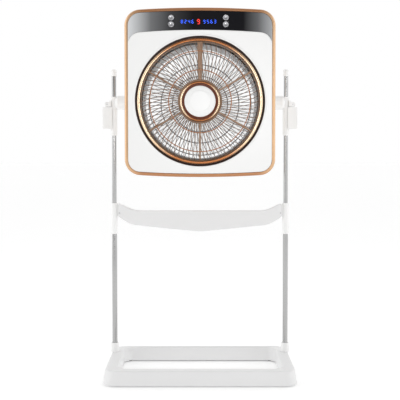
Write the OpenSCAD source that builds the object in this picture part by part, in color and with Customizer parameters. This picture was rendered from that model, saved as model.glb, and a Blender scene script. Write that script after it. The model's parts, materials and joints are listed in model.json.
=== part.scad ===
// Box fan on a two-post stand.
// The head slides up and down the posts, tilts about its side pivots, and blows through
// a slowly turning louvre wheel. Origin: middle of the footprint, on the floor.
// +X is to the right seen from the front, the front faces -Y, and +Z is up.

/* [Head] */
// Width of the head
head_w = 400; // [380:1:520]
// Height of the head above the tilt axis
head_up = 247; // [236:1:300]
// Height of the head below the tilt axis
head_down = 201; // [190:1:260]
// Depth of the head in front of the posts
head_front = 70; // [68:1:84]
// Depth of the head behind the posts
head_back = 60; // [58:1:64]
// Corner radius of the head's outline
head_corner_r = 42; // [36:1:60]
// How far the top and bottom edges bow outwards
head_bow = 6; // [3:1:10]
// Wall of the rear shell
shell_wall = 2.8; // [2.2:0.1:3.4]
// Width of the coloured trim band seen from the front
trim_w = 9; // [7:0.5:12]
// Depth of the trim band
trim_depth = 28; // [20:1:34]

/* [Grille] */
// Outer radius of the turning louvre wheel
wheel_r = 158.4; // [140:0.1:160]
// Radius of the wheel's hub
wheel_hub_r = 58.7; // [50:0.1:64]
// Depth of the louvre vanes
vane_depth = 12; // [8:1:13]
// Thickness of a louvre vane
vane_t = 1.3; // [1:0.1:2]
// Number of spokes in the wheel and arms in the spider
spokes = 6; // [4:1:8]
// Number of vanes in the wheel
vanes = 68; // [48:1:76]
// Angle that a vane sweeps through from hub to rim
vane_sweep = 14.8; // [0:0.2:24]
// Width of the polished ring around the wheel
bezel_w = 7.6; // [6:0.1:10]
// Width of the dark ring around the polished ring
shadow_w = 5.4; // [4:0.1:8]
// Ribs in the rear guard
guard_ribs = 90; // [60:1:100]

/* [Impeller and motor] */
// Tip radius of the impeller
blade_r = 147; // [130:1:148]
// Number of blades
blades = 6; // [3:1:7]
// Pitch of the blades
blade_pitch = 24; // [16:1:26]
// Radius of the impeller hub
impeller_hub_r = 45; // [44:0.5:50]
// Radius of the motor covers
motor_r = 42; // [38:0.5:43]
// Length of the motor
motor_len = 44; // [40:1:46]
// Diameter of the motor shaft
shaft_d = 8; // [6:0.5:10]
// Radius of the small motor that turns the louvre wheel
louvre_motor_r = 25; // [20:0.5:27]

/* [Controls] */
// Height of the control strip at the middle
strip_h = 59.4; // [56:0.2:62]
// Diameter of a push button
button_d = 15.5; // [12:0.5:16]
// Height between the two buttons of a pair
button_pitch = 17.6; // [17:0.1:22]
// Distance from the middle to the left pair
button_left = 76; // [66:1:100]
// Distance from the middle to the right pair
button_right = 68; // [60:1:100]
// Travel of a button
button_travel = 1.2; // [0.6:0.1:1.4]
// Width of the lit display
display_w = 104; // [80:1:106]
// Height of the lit display
display_h = 17; // [12:1:20]

/* [Stand] */
// Height of the tilt axis above the floor, with the sleeves at mid travel
axis_z = 725; // [680:1:900]
// Outer diameter of the lower tubes
lower_tube_d = 14; // [13:0.5:16]
// Outer diameter of the upper tubes
upper_tube_d = 12; // [10:0.5:12.5]
// Wall of the upper tubes
tube_wall = 1; // [0.8:0.1:1.5]
// Height of the lower end of the couplings
coupling_z = 366; // [300:1:380]
// Length of the couplings
coupling_len = 85; // [70:1:100]
// Length of the sliding sleeves
sleeve_len = 105.5; // [95:0.5:110]
// Outer diameter of the sliding sleeves
sleeve_d = 17.6; // [17:0.1:20]
// Length of tube above a sleeve, up to its end cap
top_travel = 56; // [30:1:80]
// Length of the end caps
cap_len = 19; // [15:1:25]
// Diameter of the pivot hubs beside the head
hub_d = 38; // [30:1:42]
// Gap between the head's side and a sleeve
hub_len = 26; // [22:1:34]
// Diameter of the pivot bolts
bolt_d = 8; // [6:0.5:10]

/* [Base] */
// Depth of the base ring
base_d = 260; // [230:1:320]
// Height of the top of the base ring above the floor
base_h = 40; // [34:1:50]
// Corner radius of the base ring at the floor
base_corner_r = 34; // [28:1:50]
// How far the outer walls lean in over their height
base_draft = 6; // [2:1:8]
// Distance from the posts to the base's rear edge
post_back = 65; // [65:1:90]
// Width of the base outside each post
base_overhang = 13; // [12:1:24]
// Width of the front leg of the ring
front_leg_w = 33; // [28:1:40]
// Width of the rear leg of the ring
rear_leg_w = 24; // [24:1:34]
// Width of the side legs of the ring
side_leg_w = 36.5; // [34:0.5:46]
// Wall of the base frame
base_wall = 2.6; // [2:0.1:3.2]
// Thickness of the steel ballast plate
plate_t = 3; // [2:0.5:4]
// Height of the rubber feet
foot_h = 5; // [4:0.5:6]

/* [Fits] */
// Radial clearance of a sliding or turning fit
running = 0.08; // [0.04:0.01:0.1]
// Radial clearance of pieces that are pushed together
snug = 0.05; // [0.02:0.01:0.1]
// Gap between neighbouring covers
seam = 0.3; // [0.2:0.05:0.5]
// Radial clearance of a screw in the piece it clamps
screw_play = 0.2; // [0.1:0.05:0.4]

/* [Hidden] */
$fn = 64;
// A little extra so that cuts run past their faces
over = 1;

// Places worked out from the driving sizes
sleeve_r = sleeve_d / 2;
post_x = head_w / 2 + hub_len + sleeve_r + 0.2;
post_y = base_d / 2 - post_back;
upper_r = upper_tube_d / 2;
lower_r = lower_tube_d / 2;
bolt_r = bolt_d / 2;
shaft_r = shaft_d / 2;
base_half_w = post_x + base_overhang;

// Depth stations in the head, measured forward from the tilt axis
face_z = head_front;
plate_back = face_z - 4;
flange_z = face_z - 8;
trim_front = face_z - 2;
trim_back = trim_front - trim_depth;
rear_in = -head_back + 3;
shelf_back = face_z - 12;
spider_front = face_z - 24;
spider_back = spider_front - 8;
board_front = face_z - 19.4;
board_back = board_front - 1.6;
wheel_front = face_z - 4;
wheel_back = wheel_front - 16;

// Radii in the head
wheel_gap = 0.5;
bezel_in_r = wheel_r + wheel_gap;
bezel_out_r = bezel_in_r + bezel_w;
shadow_in_r = bezel_out_r + 0.2;
shadow_out_r = shadow_in_r + shadow_w;
panel_hole_r = shadow_out_r + 0.2;
duct_in_r = blade_r + 5;
duct_wall = 2.5;
guard_r = duct_in_r + 15.5;
guard_hole_r = guard_r + 0.5;
duct_flange_r = guard_hole_r + 11;

// Control strip
strip_inset = trim_w + 0.6;
window_top = head_up - strip_h;
window_bow = 7;
window_corner_r = 33;
button_r = button_d / 2;
button_row = window_top + 23.2;
// The display sits a little below the middle of the buttons
display_row = button_row - 2;
button_play = 0.3;

// Screws
screw_r = 1.6;
screw_head_r = 3.5;
screw_head_h = 2.2;
tower_r = 6;
tower_bore_r = 4.5;
tower_end = 20;
tower_floor = 3;

// ---------------------------------------------------------------- shared shapes

// Points along an arc, from angle a0 to a1 in n steps
function arc(cx, cy, r, a0, a1, n) =
    [for (i = [0:n]) [cx + r * cos(a0 + (a1 - a0) * i / n), cy + r * sin(a0 + (a1 - a0) * i / n)]];

// Radius of an arc with the given half width and bow
function bow_r(half, bow) = (half * half + bow * bow) / (2 * bow);

// Rounded outline with bowed top and bottom, moved inwards by inset
function bowed_outline(half_w, top, bottom, corner, bow, inset) =
    let (
        big = bow_r(half_w - corner * 0.6, bow),
        cx = half_w - corner,
        rise = sqrt((big - corner) * (big - corner) - cx * cx),
        a = atan2(rise, cx),
        top_c = top - big,
        low_c = bottom + big
    )
    concat(
        arc(cx, top_c + rise, corner - inset, 0, a, 8),
        arc(0, top_c, big - inset, a, 180 - a, 12),
        arc(-cx, top_c + rise, corner - inset, 180 - a, 180, 8),
        arc(-cx, low_c - rise, corner - inset, 180, 180 + a, 8),
        arc(0, low_c, big - inset, 180 + a, 360 - a, 12),
        arc(cx, low_c - rise, corner - inset, 360 - a, 360, 8)
    );

function head_outline(inset) =
    bowed_outline(head_w / 2, head_up, -head_down, head_corner_r, head_bow, inset);

// The white face below the control strip
function face_outline() =
    bowed_outline(head_w / 2 - strip_inset, window_top, -head_down - 60, window_corner_r,
        window_bow, 0);

// Slab of the head's outline between two depths
module head_slab(inset, z0, z1) {
    translate([0, 0, z0]) linear_extrude(z1 - z0) polygon(head_outline(inset));
}

// Hollow frame of the head's outline between two depths
module head_rim(outer, inner, z0, z1) {
    difference() {
        head_slab(outer, z0, z1);
        head_slab(inner, z0 - over, z1 + over);
    }
}

// Disc and ring between two depths
module disc(r, z0, z1) {
    translate([0, 0, z0]) cylinder(r = r, h = z1 - z0);
}

module ring(outer, inner, z0, z1) {
    difference() {
        disc(outer, z0, z1);
        disc(inner, z0 - over, z1 + over);
    }
}

// Box given by its two corners
module block(low, high) {
    translate(low) cube(high - low);
}

// Puts the head's own axes in place: X right, Y up, Z forward from the tilt axis
module in_head() {
    translate([0, post_y, axis_z]) rotate([90, 0, 0]) children();
}

// Puts a post's own axes in place, and mirrors the left one
module at_post(side) {
    mirror([side < 0 ? 1 : 0, 0, 0]) translate([post_x, post_y, 0]) children();
}

module at_both_posts() {
    for (side = [-1, 1]) at_post(side) children();
}

// Rounded rectangle prism, centred on the base
module rounded_prism(half_w, y0, y1, r, z0, z1) {
    translate([0, 0, z0]) linear_extrude(z1 - z0) polygon(concat(
        arc(half_w - r, y1 - r, r, 0, 90, 8),
        arc(-half_w + r, y1 - r, r, 90, 180, 8),
        arc(-half_w + r, y0 + r, r, 180, 270, 8),
        arc(half_w - r, y0 + r, r, 270, 360, 8)
    ));
}

// ---------------------------------------------------------------- stand

base_z = foot_h - 2;
plate_z = foot_h;
plate_top = plate_z + plate_t;
// Room between the ballast plate and the walls round it
plate_play = 0.6;
base_front = -base_d / 2;
base_rear = base_d / 2;
open_half_w = base_half_w - side_leg_w;
open_front = base_front + front_leg_w;
open_rear = base_rear - rear_leg_w;
open_r = 25;
socket_len = 25;
socket_top_r = lower_r + 3.5;
socket_foot_r = socket_top_r + 2.5;

// Side profile of the base, from its centre line out to radius r
function base_edge(r, z0, z1, draft) =
    let (e = 4)
    concat([[0, z0], [r, z0]], arc(r - draft - e, z1 - e, e, 0, 90, 4), [[0, z1]]);

// Tapered block with round corners
module tapered_block(half_w, half_d, r, z0, z1, draft) {
    wide = base_edge(half_d, z0, z1, draft);
    deep = base_edge(half_w, z0, z1, draft);
    for (sx = [-1, 1])
        for (sy = [-1, 1])
            translate([sx * (half_w - r), sy * (half_d - r), 0])
                rotate_extrude() polygon(base_edge(r, z0, z1, draft));
    for (turn = [0, 180]) {
        rotate([0, 0, turn]) translate([r - half_w, 0, 0]) rotate([90, 0, 90])
            linear_extrude(2 * (half_w - r)) polygon(wide);
        rotate([0, 0, turn]) translate([0, half_d - r, 0]) rotate([90, 0, 0])
            linear_extrude(2 * (half_d - r)) polygon(deep);
    }
}

// Places of the screws that hold the ballast plate
base_screw_at = [
    [base_half_w - 30, base_front + 17], [base_half_w - 30, base_rear - 12.5],
    [120, base_front + 17], [120, base_rear - 12.5]
];

module at_base_screws() {
    for (side = [-1, 1])
        for (p = base_screw_at)
            translate([side * p[0], p[1], 0]) children();
}

module base_frame() color([0.93, 0.93, 0.92]) {
    inside = base_wall;
    difference() {
        tapered_block(base_half_w, base_d / 2, base_corner_r, base_z, base_h, base_draft);
        rounded_prism(open_half_w, open_front, open_rear, open_r, 0, base_h + over);
        difference() {
            tapered_block(base_half_w - inside, base_d / 2 - inside, base_corner_r - inside,
                0, base_h - inside, base_draft * (base_h - inside) / (base_h - base_z));
            rounded_prism(open_half_w + inside, open_front - inside, open_rear + inside,
                open_r + inside, -over, base_h);
            at_base_screws() disc(4.5, plate_top, base_h);
            at_both_posts() disc(lower_r + 2.9, plate_top, base_h);
        }
        at_both_posts() disc(lower_r + snug, plate_top - over, base_h + over);
        at_base_screws() disc(screw_r + 0.02, plate_top - over, plate_top + 16);
    }
}

module base_plate() color([0.35, 0.36, 0.38]) {
    gap = base_wall + plate_play + base_draft * plate_top / (base_h - base_z);
    difference() {
        rounded_prism(base_half_w - gap, base_front + gap, base_rear - gap,
            base_corner_r - gap, plate_z, plate_top);
        rounded_prism(open_half_w + gap, open_front - gap, open_rear + gap, open_r + gap,
            plate_z - over, plate_top + over);
        at_base_screws() disc(screw_r + screw_play, plate_z - over, plate_top + over);
        at_both_posts() disc(2.5 + screw_play, plate_z - over, plate_top + over);
    }
}

module rubber_feet() color([0.16, 0.16, 0.17]) {
    for (side = [-1, 1]) {
        for (y = [base_front + 17, base_rear - 13])
            translate([side * (base_half_w - 50), y, 0]) disc(8, 0, plate_z);
        translate([side * (base_half_w - 20), -15, 0]) disc(8, 0, plate_z);
    }
}

// Screws of the ballast plate and of the cross brace
module stand_screws() color([0.6, 0.6, 0.62]) {
    at_base_screws() {
        disc(screw_head_r, plate_z - screw_head_h, plate_z);
        disc(screw_r, plate_z - over, plate_top + 12);
    }
    at_both_posts() translate([lug_in + 5, 0, lug_screw_z]) rotate([90, 0, 0]) {
        translate([0, 0, -screw_head_h]) cylinder(r = screw_head_r, h = screw_head_h);
        translate([0, 0, -over]) cylinder(r = screw_r, h = 9 + over);
    }
}

module post_socket(side) color([0.93, 0.93, 0.92]) {
    at_post(side) difference() {
        translate([0, 0, base_h])
            cylinder(r1 = socket_foot_r, r2 = socket_top_r, h = socket_len);
        disc(lower_r + snug, base_h - over, base_h + socket_len + over);
    }
}

insert_len = 24;

module tube_inserts() color([0.75, 0.68, 0.45]) {
    at_both_posts()
        ring(lower_r - lower_wall - snug, 2.5 + 0.02, plate_top, plate_top + insert_len);
}

module post_bolts() color([0.6, 0.6, 0.62]) {
    at_both_posts() {
        disc(5, plate_z - 3, plate_z);
        disc(2.5, plate_z - over, plate_top + insert_len - 4);
    }
}

// The upper tube fits inside the lower one
lower_wall = lower_r - upper_r - snug * 2;
tube_overlap = 36;
lower_top = coupling_z + coupling_len / 2;
upper_bottom = lower_top - tube_overlap;
sleeve_top = axis_z + 16;
sleeve_bottom = sleeve_top - sleeve_len;
cap_z = sleeve_top + top_travel;
cap_r = upper_r + 1.8;

module lower_tube(side) color([0.62, 0.62, 0.62]) {
    at_post(side) ring(lower_r, lower_r - lower_wall, plate_top, lower_top);
}

module upper_tube(side) color([0.66, 0.66, 0.66]) {
    at_post(side) ring(upper_r, upper_r - tube_wall, upper_bottom, cap_z + cap_len - 6);
}

module tube_cap(side) color([0.95, 0.95, 0.95]) {
    at_post(side) difference() {
        union() {
            disc(cap_r, cap_z, cap_z + cap_len - 3);
            translate([0, 0, cap_z + cap_len - 3]) cylinder(r1 = cap_r, r2 = cap_r - 2.5, h = 3);
        }
        disc(upper_r + snug, cap_z - over, cap_z + cap_len - 6);
    }
}

coupling_r = lower_r + 2.2;
lug_low = coupling_z + 48;
lug_high = coupling_z + 81;
lug_in = -20;
lug_screw_z = coupling_z + 58;

module coupling(side) color([0.95, 0.95, 0.95]) {
    at_post(side) difference() {
        union() {
            disc(coupling_r, coupling_z, coupling_z + coupling_len);
            block([lug_in, -5, lug_low], [-upper_r - 1, 0, lug_high]);
        }
        disc(lower_r + snug, coupling_z - over, lower_top);
        disc(upper_r + snug, lower_top - over, coupling_z + coupling_len + over);
        translate([lug_in + 5, over, lug_screw_z]) rotate([90, 0, 0])
            cylinder(r = screw_r + screw_play, h = 8);
    }
}

// Cross brace: a deep bar that hangs between the couplings
brace_half = post_x - coupling_r - 3.2;
brace_knee = brace_half - 40;
brace_top = coupling_z + 64;
brace_end_top = coupling_z + 85;
brace_low = coupling_z + 7;
brace_knee_low = coupling_z + 25;
brace_end_low = coupling_z + 47;
brace_front = -11;
brace_rear = 11;
brace_wall = 3;

function brace_under(x) =
    abs(x) < brace_knee
        ? brace_low + (brace_knee_low - brace_low) * pow(abs(x) / brace_knee, 1.1)
        : brace_knee_low + (brace_end_low - brace_knee_low)
            * pow((abs(x) - brace_knee) / (brace_half - brace_knee), 1.3);

function brace_outline(inset) =
    concat(
        [for (i = [0:24]) let (x = brace_half * (1 - i / 12)) [x, brace_under(x) + inset]],
        [[-brace_half, brace_end_top - inset], [-brace_knee, brace_top - inset],
         [brace_knee, brace_top - inset], [brace_half, brace_end_top - inset]]
    );

module brace_slab(inset, y0, y1) {
    translate([0, post_y + y1, 0]) rotate([90, 0, 0]) linear_extrude(y1 - y0)
        polygon(brace_outline(inset));
}

module cross_brace() color([0.9, 0.9, 0.9]) {
    difference() {
        brace_slab(0, brace_front, brace_rear);
        difference() {
            brace_slab(brace_wall, brace_front + brace_wall, brace_rear + over);
            at_both_posts() translate([lug_in + 5, brace_front + 5.8, lug_screw_z])
                rotate([90, 0, 0]) cylinder(r = 4, h = 8);
        }
        for (side = [-1, 1])
            at_post(side) block([lug_in - 0.5, -5.1, lug_low - 1], [0, 30, lug_high + 30]);
        at_both_posts() translate([lug_in + 5, 0, lug_screw_z]) rotate([90, 0, 0])
            cylinder(r = screw_r + 0.02, h = 9.5);
    }
}

// ---------------------------------------------------------------- carriage

pin_u = 18;
pin_z = sleeve_top - 20.5;
pin_r = 2;
knuckle_r = 6.3;
ear_r = 6.4;
ear_in = 7.6;
ear_out = 10.4;
bridge_out = 11;
bridge_low = pin_z - ear_r;
bridge_high = pin_z + 10.5;
shoe_half_w = 3.5;
shoe_half_h = 5.5;
shoe_gap = 0.2;

// Cylinder along the pin's direction, centred on the pin
module on_pin(r, half) {
    translate([pin_u, half, pin_z]) rotate([90, 0, 0]) cylinder(r = r, h = 2 * half);
}

module slide_sleeve(side) color([0.95, 0.95, 0.95]) {
    at_post(side) difference() {
        union() {
            disc(sleeve_r, sleeve_bottom, sleeve_top);
            block([4, -ear_out, bridge_low], [bridge_out, ear_out, bridge_high]);
            for (s = [-1, 1]) {
                y0 = s > 0 ? ear_in : -ear_out;
                block([4, y0, bridge_low], [pin_u, y0 + ear_out - ear_in, pin_z + ear_r]);
                translate([pin_u, y0 + ear_out - ear_in, pin_z]) rotate([90, 0, 0])
                    cylinder(r = ear_r, h = ear_out - ear_in);
            }
        }
        disc(upper_r + running, sleeve_bottom - over, sleeve_top + over);
        block([0, -shoe_half_w - shoe_gap, pin_z - shoe_half_h - shoe_gap],
            [bridge_out + over, shoe_half_w + shoe_gap, pin_z + shoe_half_h + shoe_gap]);
        on_pin(pin_r + snug, ear_out + over);
    }
}

module clamp_shoes() color([0.25, 0.25, 0.26]) {
    at_both_posts() difference() {
        block([upper_r - 2, -shoe_half_w, pin_z - shoe_half_h],
            [pin_u - knuckle_r - seam, shoe_half_w, pin_z + shoe_half_h]);
        disc(upper_r + 0.1, pin_z - 20, pin_z + 20);
    }
}

module lever_pins() color([0.7, 0.7, 0.72]) {
    at_both_posts() on_pin(pin_r, ear_out);
}

lever_in = sleeve_r + 0.8;
lever_out = 31;
lever_half_w = 10;
lever_top = pin_z - 7.5;
lever_len = 59;
lever_wall = 2.2;
lever_r = 4;

// Side view of the lever's grip, with round corners
function grip_outline(inset, open_side) =
    concat(
        arc(lever_out - lever_r, lever_top - lever_r, lever_r - inset, 0, 90, 5),
        [[lever_in - open_side, lever_top - inset], [lever_in - open_side,
            lever_top - lever_len + inset]],
        arc(lever_out - lever_r, lever_top - lever_len + lever_r, lever_r - inset, 270, 360, 5)
    );

module lever_grip(inset, open_side, half) {
    translate([0, half, 0]) rotate([90, 0, 0]) linear_extrude(2 * half)
        polygon(grip_outline(inset, open_side));
}

module lock_lever(side) color([0.94, 0.94, 0.94]) {
    at_post(side) difference() {
        union() {
            difference() {
                lever_grip(0, 0, lever_half_w);
                lever_grip(lever_wall, 5, lever_half_w - lever_wall);
            }
            on_pin(knuckle_r, 7.2);
            block([pin_u - 5, -7.2, lever_top - 8], [pin_u + 5.5, 7.2, pin_z]);
        }
        on_pin(pin_r + running, 20);
    }
}

// Pivot between a sleeve and the head, along X; u is measured from the head's side
washer_t = 0.8;
hub_start = 1;
bolt_head_r = 6.5;
nut_t = 6;
boss_len = 13;
spring_t = 1.6;

module on_pivot(r, u0, u1) {
    translate([head_w / 2 + u0, post_y, axis_z]) rotate([0, 90, 0])
        cylinder(r = r, h = u1 - u0);
}

module on_right_or_left(side) {
    mirror([side < 0 ? 1 : 0, 0, 0]) children();
}

module pivot_hub(side) color([0.95, 0.95, 0.95]) {
    on_right_or_left(side) difference() {
        on_pivot(hub_d / 2, hub_start, hub_len + 5);
        on_pivot(bolt_r + snug, 0, hub_len + 8);
        on_pivot(bolt_head_r + 0.3, hub_len - 10, hub_len + 8);
        translate([post_x, post_y, 0]) disc(sleeve_r + snug, axis_z - 40, axis_z + 40);
    }
}

module pivot_bolts() color([0.6, 0.6, 0.62]) {
    for (side = [-1, 1]) on_right_or_left(side) {
        on_pivot(bolt_r, -boss_len - spring_t - nut_t - 2, hub_len - 9.5);
        on_pivot(bolt_head_r, hub_len - 10, hub_len - 4.5);
    }
}

module pivot_nuts() color([0.7, 0.7, 0.72]) {
    for (side = [-1, 1]) on_right_or_left(side) difference() {
        union() {
            on_pivot(bolt_r + 3.5, -boss_len - spring_t - nut_t, -boss_len - spring_t);
            on_pivot(bolt_r + 6, -boss_len - spring_t, -boss_len - 0.2);
        }
        on_pivot(bolt_r + 0.02, -40, 0);
    }
}

module friction_washers() color([0.2, 0.2, 0.2]) {
    for (side = [-1, 1]) on_right_or_left(side) difference() {
        on_pivot(hub_d / 2 - 2, hub_start - washer_t, hub_start);
        on_pivot(bolt_r + snug, -5, 5);
    }
}

// ---------------------------------------------------------------- head

// Places of the long housing screws, from the tilt axis
housing_at = [
    [head_w / 2 - 24, head_up - 33], [head_w / 2 - 24, 31 - head_down],
    [head_w / 2 - 16, 100], [head_w / 2 - 16, -100]
];

module at_housing_screws() {
    for (side = [-1, 1])
        for (p = housing_at)
            translate([side * p[0], p[1], 0]) children();
}

// Screws round the rear guard and round the spider, at equal angles
guard_screw_r = (guard_hole_r + duct_flange_r) / 2;
rim_screw_r = guard_r - 3;
spider_screw_r = wheel_r + 8;

module around(count, r, start) {
    for (i = [0:count - 1]) rotate([0, 0, start + i * 360 / count]) translate([r, 0, 0]) children();
}

// Cord inlet at the lower left of the back
inlet_x = head_w / 2 - 48;
inlet_y = 40 - head_down;
inlet_r = 8;
inlet_bore_r = 4;

module rear_shell() color([0.94, 0.94, 0.94]) in_head() {
    difference() {
        union() {
            head_rim(0, shell_wall, -head_back, trim_back - 0.2);
            head_slab(0, -head_back, rear_in);
            at_housing_screws() disc(tower_r, rear_in - over, tower_end + tower_floor);
            for (side = [-1, 1])
                translate([side * (head_w / 2 - shell_wall / 2), 0, 0]) rotate([0, -90 * side, 0])
                    cylinder(r = 14, h = boss_len - shell_wall / 2);
        }
        disc(guard_hole_r, -head_back - over, rear_in + over);
        at_housing_screws() disc(tower_bore_r, -head_back - over, tower_end);
        at_housing_screws() disc(screw_r + screw_play, 0, tower_end + 10);
        translate([-head_w / 2 - over, 0, 0]) rotate([0, 90, 0])
            cylinder(r = bolt_r + running, h = head_w + 2 * over);
        around(6, guard_screw_r, 30) disc(screw_r + screw_play, -head_back - over, rear_in + over);
        translate([-inlet_x, inlet_y, 0]) disc(inlet_r + snug, -head_back - over, 0);
    }
}

module trim_band() color([0.66, 0.43, 0.29]) in_head() {
    difference() {
        head_slab(0, trim_back, trim_front);
        head_slab(shell_wall, trim_back - over, trim_front - 3);
        head_slab(trim_w, trim_front - 5, trim_front + over);
    }
}

// Control strip: the part of the face above the bowed window edge
module strip_slab(grow, z0, z1) {
    translate([0, 0, z0]) linear_extrude(z1 - z0) difference() {
        polygon(head_outline(strip_inset - grow));
        polygon(face_outline());
        translate([-head_w, -2 * head_w]) square([2 * head_w, 2 * head_w + window_top - 42]);
    }
}

button_x = [-button_left, -button_left, button_right, button_right];
button_y = [button_row + button_pitch / 2, button_row - button_pitch / 2,
    button_row + button_pitch / 2, button_row - button_pitch / 2];

module at_buttons() {
    for (i = [0:3]) translate([button_x[i], button_y[i], 0]) children();
}

display_mid = (button_right - button_left) / 2;
display_gap = 0.4;

module display_block(grow, z0, z1) {
    block([display_mid - display_w / 2 - grow, display_row - display_h / 2 - grow, z0],
        [display_mid + display_w / 2 + grow, display_row + display_h / 2 + grow, z1]);
}

board_half_w = display_w / 2 + 36;
board_half_h = 17;
board_post_x = board_half_w - 5;

module at_board_posts() {
    for (sx = [-1, 1])
        for (sy = [-1, 1])
            translate([display_mid + sx * board_post_x, button_row + sy * (board_half_h - 4), 0])
                children();
}

module front_panel() color([0.95, 0.95, 0.95]) in_head() {
    difference() {
        union() {
            head_slab(trim_w + 0.4, plate_back, face_z);
            head_rim(trim_w + 0.4, trim_w + 3.4, flange_z, plate_back);
            head_rim(shell_wall + 0.2, trim_w + 3.4, flange_z, trim_front - 3.2);
            head_rim(shell_wall + 0.2, shell_wall + 3, trim_back - 10, flange_z);
            disc(panel_hole_r + 4, shelf_back, plate_back);
            at_housing_screws() disc(5, tower_end + tower_floor + 0.1, plate_back + over);
            at_board_posts() disc(3, board_front, plate_back + over);
            around(spokes, spider_screw_r, 30) disc(4, spider_front, shelf_back + over);
        }
        disc(panel_hole_r, plate_back, face_z + over);
        disc(bezel_in_r, shelf_back - over, plate_back + over);
        strip_slab(0.3, face_z - 2.6, face_z + over);
        at_buttons() disc(button_r + button_play, plate_back - over, face_z);
        display_block(display_gap, plate_back - over, face_z);
        at_housing_screws() disc(screw_r + 0.02, 0, tower_end + tower_floor + 16);
        at_board_posts() disc(1.2, board_front - over, board_front + 9);
        around(spokes, spider_screw_r, 30) disc(screw_r + 0.02, spider_front - over, shelf_back);
    }
}

module control_lens() color([0.03, 0.03, 0.035]) in_head() {
    difference() {
        strip_slab(0, face_z - 2.5, face_z + 0.4);
        at_buttons() disc(button_r + button_play, 0, face_z + 2);
    }
}

module shadow_ring() color([0.06, 0.05, 0.05]) in_head()
    ring(shadow_out_r, shadow_in_r, plate_back, face_z - 2);

module bezel_ring() color([0.8, 0.62, 0.4]) in_head() {
    difference() {
        union() {
            ring(bezel_out_r, bezel_in_r, plate_back, face_z);
            ring(bezel_out_r - 1.5, bezel_in_r + 1.5, face_z - over, face_z + 1.5);
        }
    }
}

module display_module() color([0.05, 0.05, 0.06]) in_head()
    display_block(0, board_front, face_z - 2.7);

module circuit_board() color([0.1, 0.35, 0.2]) in_head() {
    difference() {
        block([display_mid - board_half_w, button_row - board_half_h, board_back],
            [display_mid + board_half_w, button_row + board_half_h, board_front]);
        at_board_posts() disc(1.4, board_back - over, board_front + over);
    }
    at_board_posts() disc(1.1, board_back - 1.4, board_front + 6);
    at_board_posts() disc(2.4, board_back - 1.8, board_back);
}

// Flange and stem of a button, behind its cap
button_flange_back = plate_back - 1.8;
button_stem_back = board_front + 5.9;

module key_switches() color([0.15, 0.15, 0.16]) in_head() {
    at_buttons() {
        block([-3, -3, board_front], [3, 3, board_front + 4]);
        disc(1.7, board_front + 3, board_front + 4.4);
    }
}

module button(i) color([0.75, 0.75, 0.77]) in_head() {
    translate([button_x[i], button_y[i], 0]) {
        disc(button_r, plate_back - over, face_z + 1);
        translate([0, 0, face_z + 1]) cylinder(r1 = button_r, r2 = button_r - 1, h = 1);
        disc(button_r + 0.9, button_flange_back, plate_back - seam);
        disc(3, button_stem_back, plate_back - over);
    }
}

// Six-armed spider that carries the louvre motor behind the wheel
spider_arm_w = 5;
duct_arm_w = 13;
spider_hub_r = wheel_hub_r - 10;
spider_rim_out = spider_screw_r + 5;
spider_rim_in = spider_screw_r - 5;
louvre_motor_len = 14;
louvre_shaft_r = 3.5;

module louvre_spider() color([0.9, 0.88, 0.85]) in_head() {
    difference() {
        union() {
            ring(spider_rim_out, spider_rim_in, spider_back, spider_front);
            disc(spider_hub_r, spider_back, spider_back + 4);
            ring(louvre_motor_r + 3, louvre_motor_r + snug, spider_back, spider_back + 10);
            for (i = [0:spokes - 1]) {
                w = i == 0 ? duct_arm_w : spider_arm_w;
                rotate([0, 0, 90 + i * 360 / spokes])
                    block([spider_hub_r - 2, -w / 2, spider_back],
                        [spider_rim_in + 1, w / 2, spider_front - 1]);
            }
        }
        around(spokes, spider_screw_r, 30)
            disc(screw_r + screw_play, spider_back - over, spider_front + over);
    }
}

module louvre_motor() color([0.78, 0.78, 0.8]) in_head() {
    disc(louvre_motor_r, spider_back + 4, spider_back + 4 + louvre_motor_len);
    disc(louvre_shaft_r, spider_back + 4, wheel_front - 3);
}

// Middle line of a vane: distance r out along it, turned a little more at each step
vane_in = wheel_hub_r - 1.5;
vane_out = wheel_r - 1.2;

// A point of a vane, offset sideways from its middle line
function vane_point(r, side) =
    let (a = vane_sweep * (r - vane_in) / (vane_out - vane_in))
    [r * cos(a) - side * sin(a), r * sin(a) + side * cos(a)];

function vane_outline() =
    let (n = 5, r = [for (i = [0:n]) vane_in + (vane_out - vane_in) * i / n])
    concat(
        [for (i = [0:n]) vane_point(r[i], -vane_t / 2)],
        [for (i = [n:-1:0]) vane_point(r[i], vane_t / 2)]
    );

broad_spoke_w = 12;
spoke_w = 4.5;
ring_t = 1.6;
inner_ring_r = wheel_r - 75.2;
outer_ring_r = wheel_r - 25.1;

module louvre_wheel() color([0.6, 0.47, 0.36]) in_head() {
    difference() {
        union() {
            ring(wheel_r, wheel_r - 2.6, wheel_back + 1, wheel_front - 1);
            ring(wheel_hub_r, wheel_hub_r - 5.4, wheel_back, wheel_front);
            disc(wheel_hub_r - 5, wheel_front - 6, wheel_front - 2);
            disc(louvre_shaft_r + 4, wheel_front - 10, wheel_front - 5);
            for (r = [inner_ring_r, outer_ring_r])
                ring(r + ring_t / 2, r - ring_t / 2, wheel_front - 4, wheel_front - 1.2);
            for (i = [0:spokes - 1]) rotate([0, 0, 90 + i * 360 / spokes]) {
                w = i == 0 ? broad_spoke_w : spoke_w;
                block([wheel_hub_r - 2.2, -w / 2, wheel_front - 1.5 - vane_depth],
                    [wheel_r - 0.8, w / 2, wheel_front - 1.6]);
            }
            for (i = [0:vanes - 1]) rotate([0, 0, (i + 0.3) * 360 / vanes])
                translate([0, 0, wheel_front - 2 - vane_depth])
                    linear_extrude(vane_depth) polygon(vane_outline());
        }
        disc(louvre_shaft_r + snug, wheel_back - 5, wheel_front - 3 + snug);
    }
}

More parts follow.
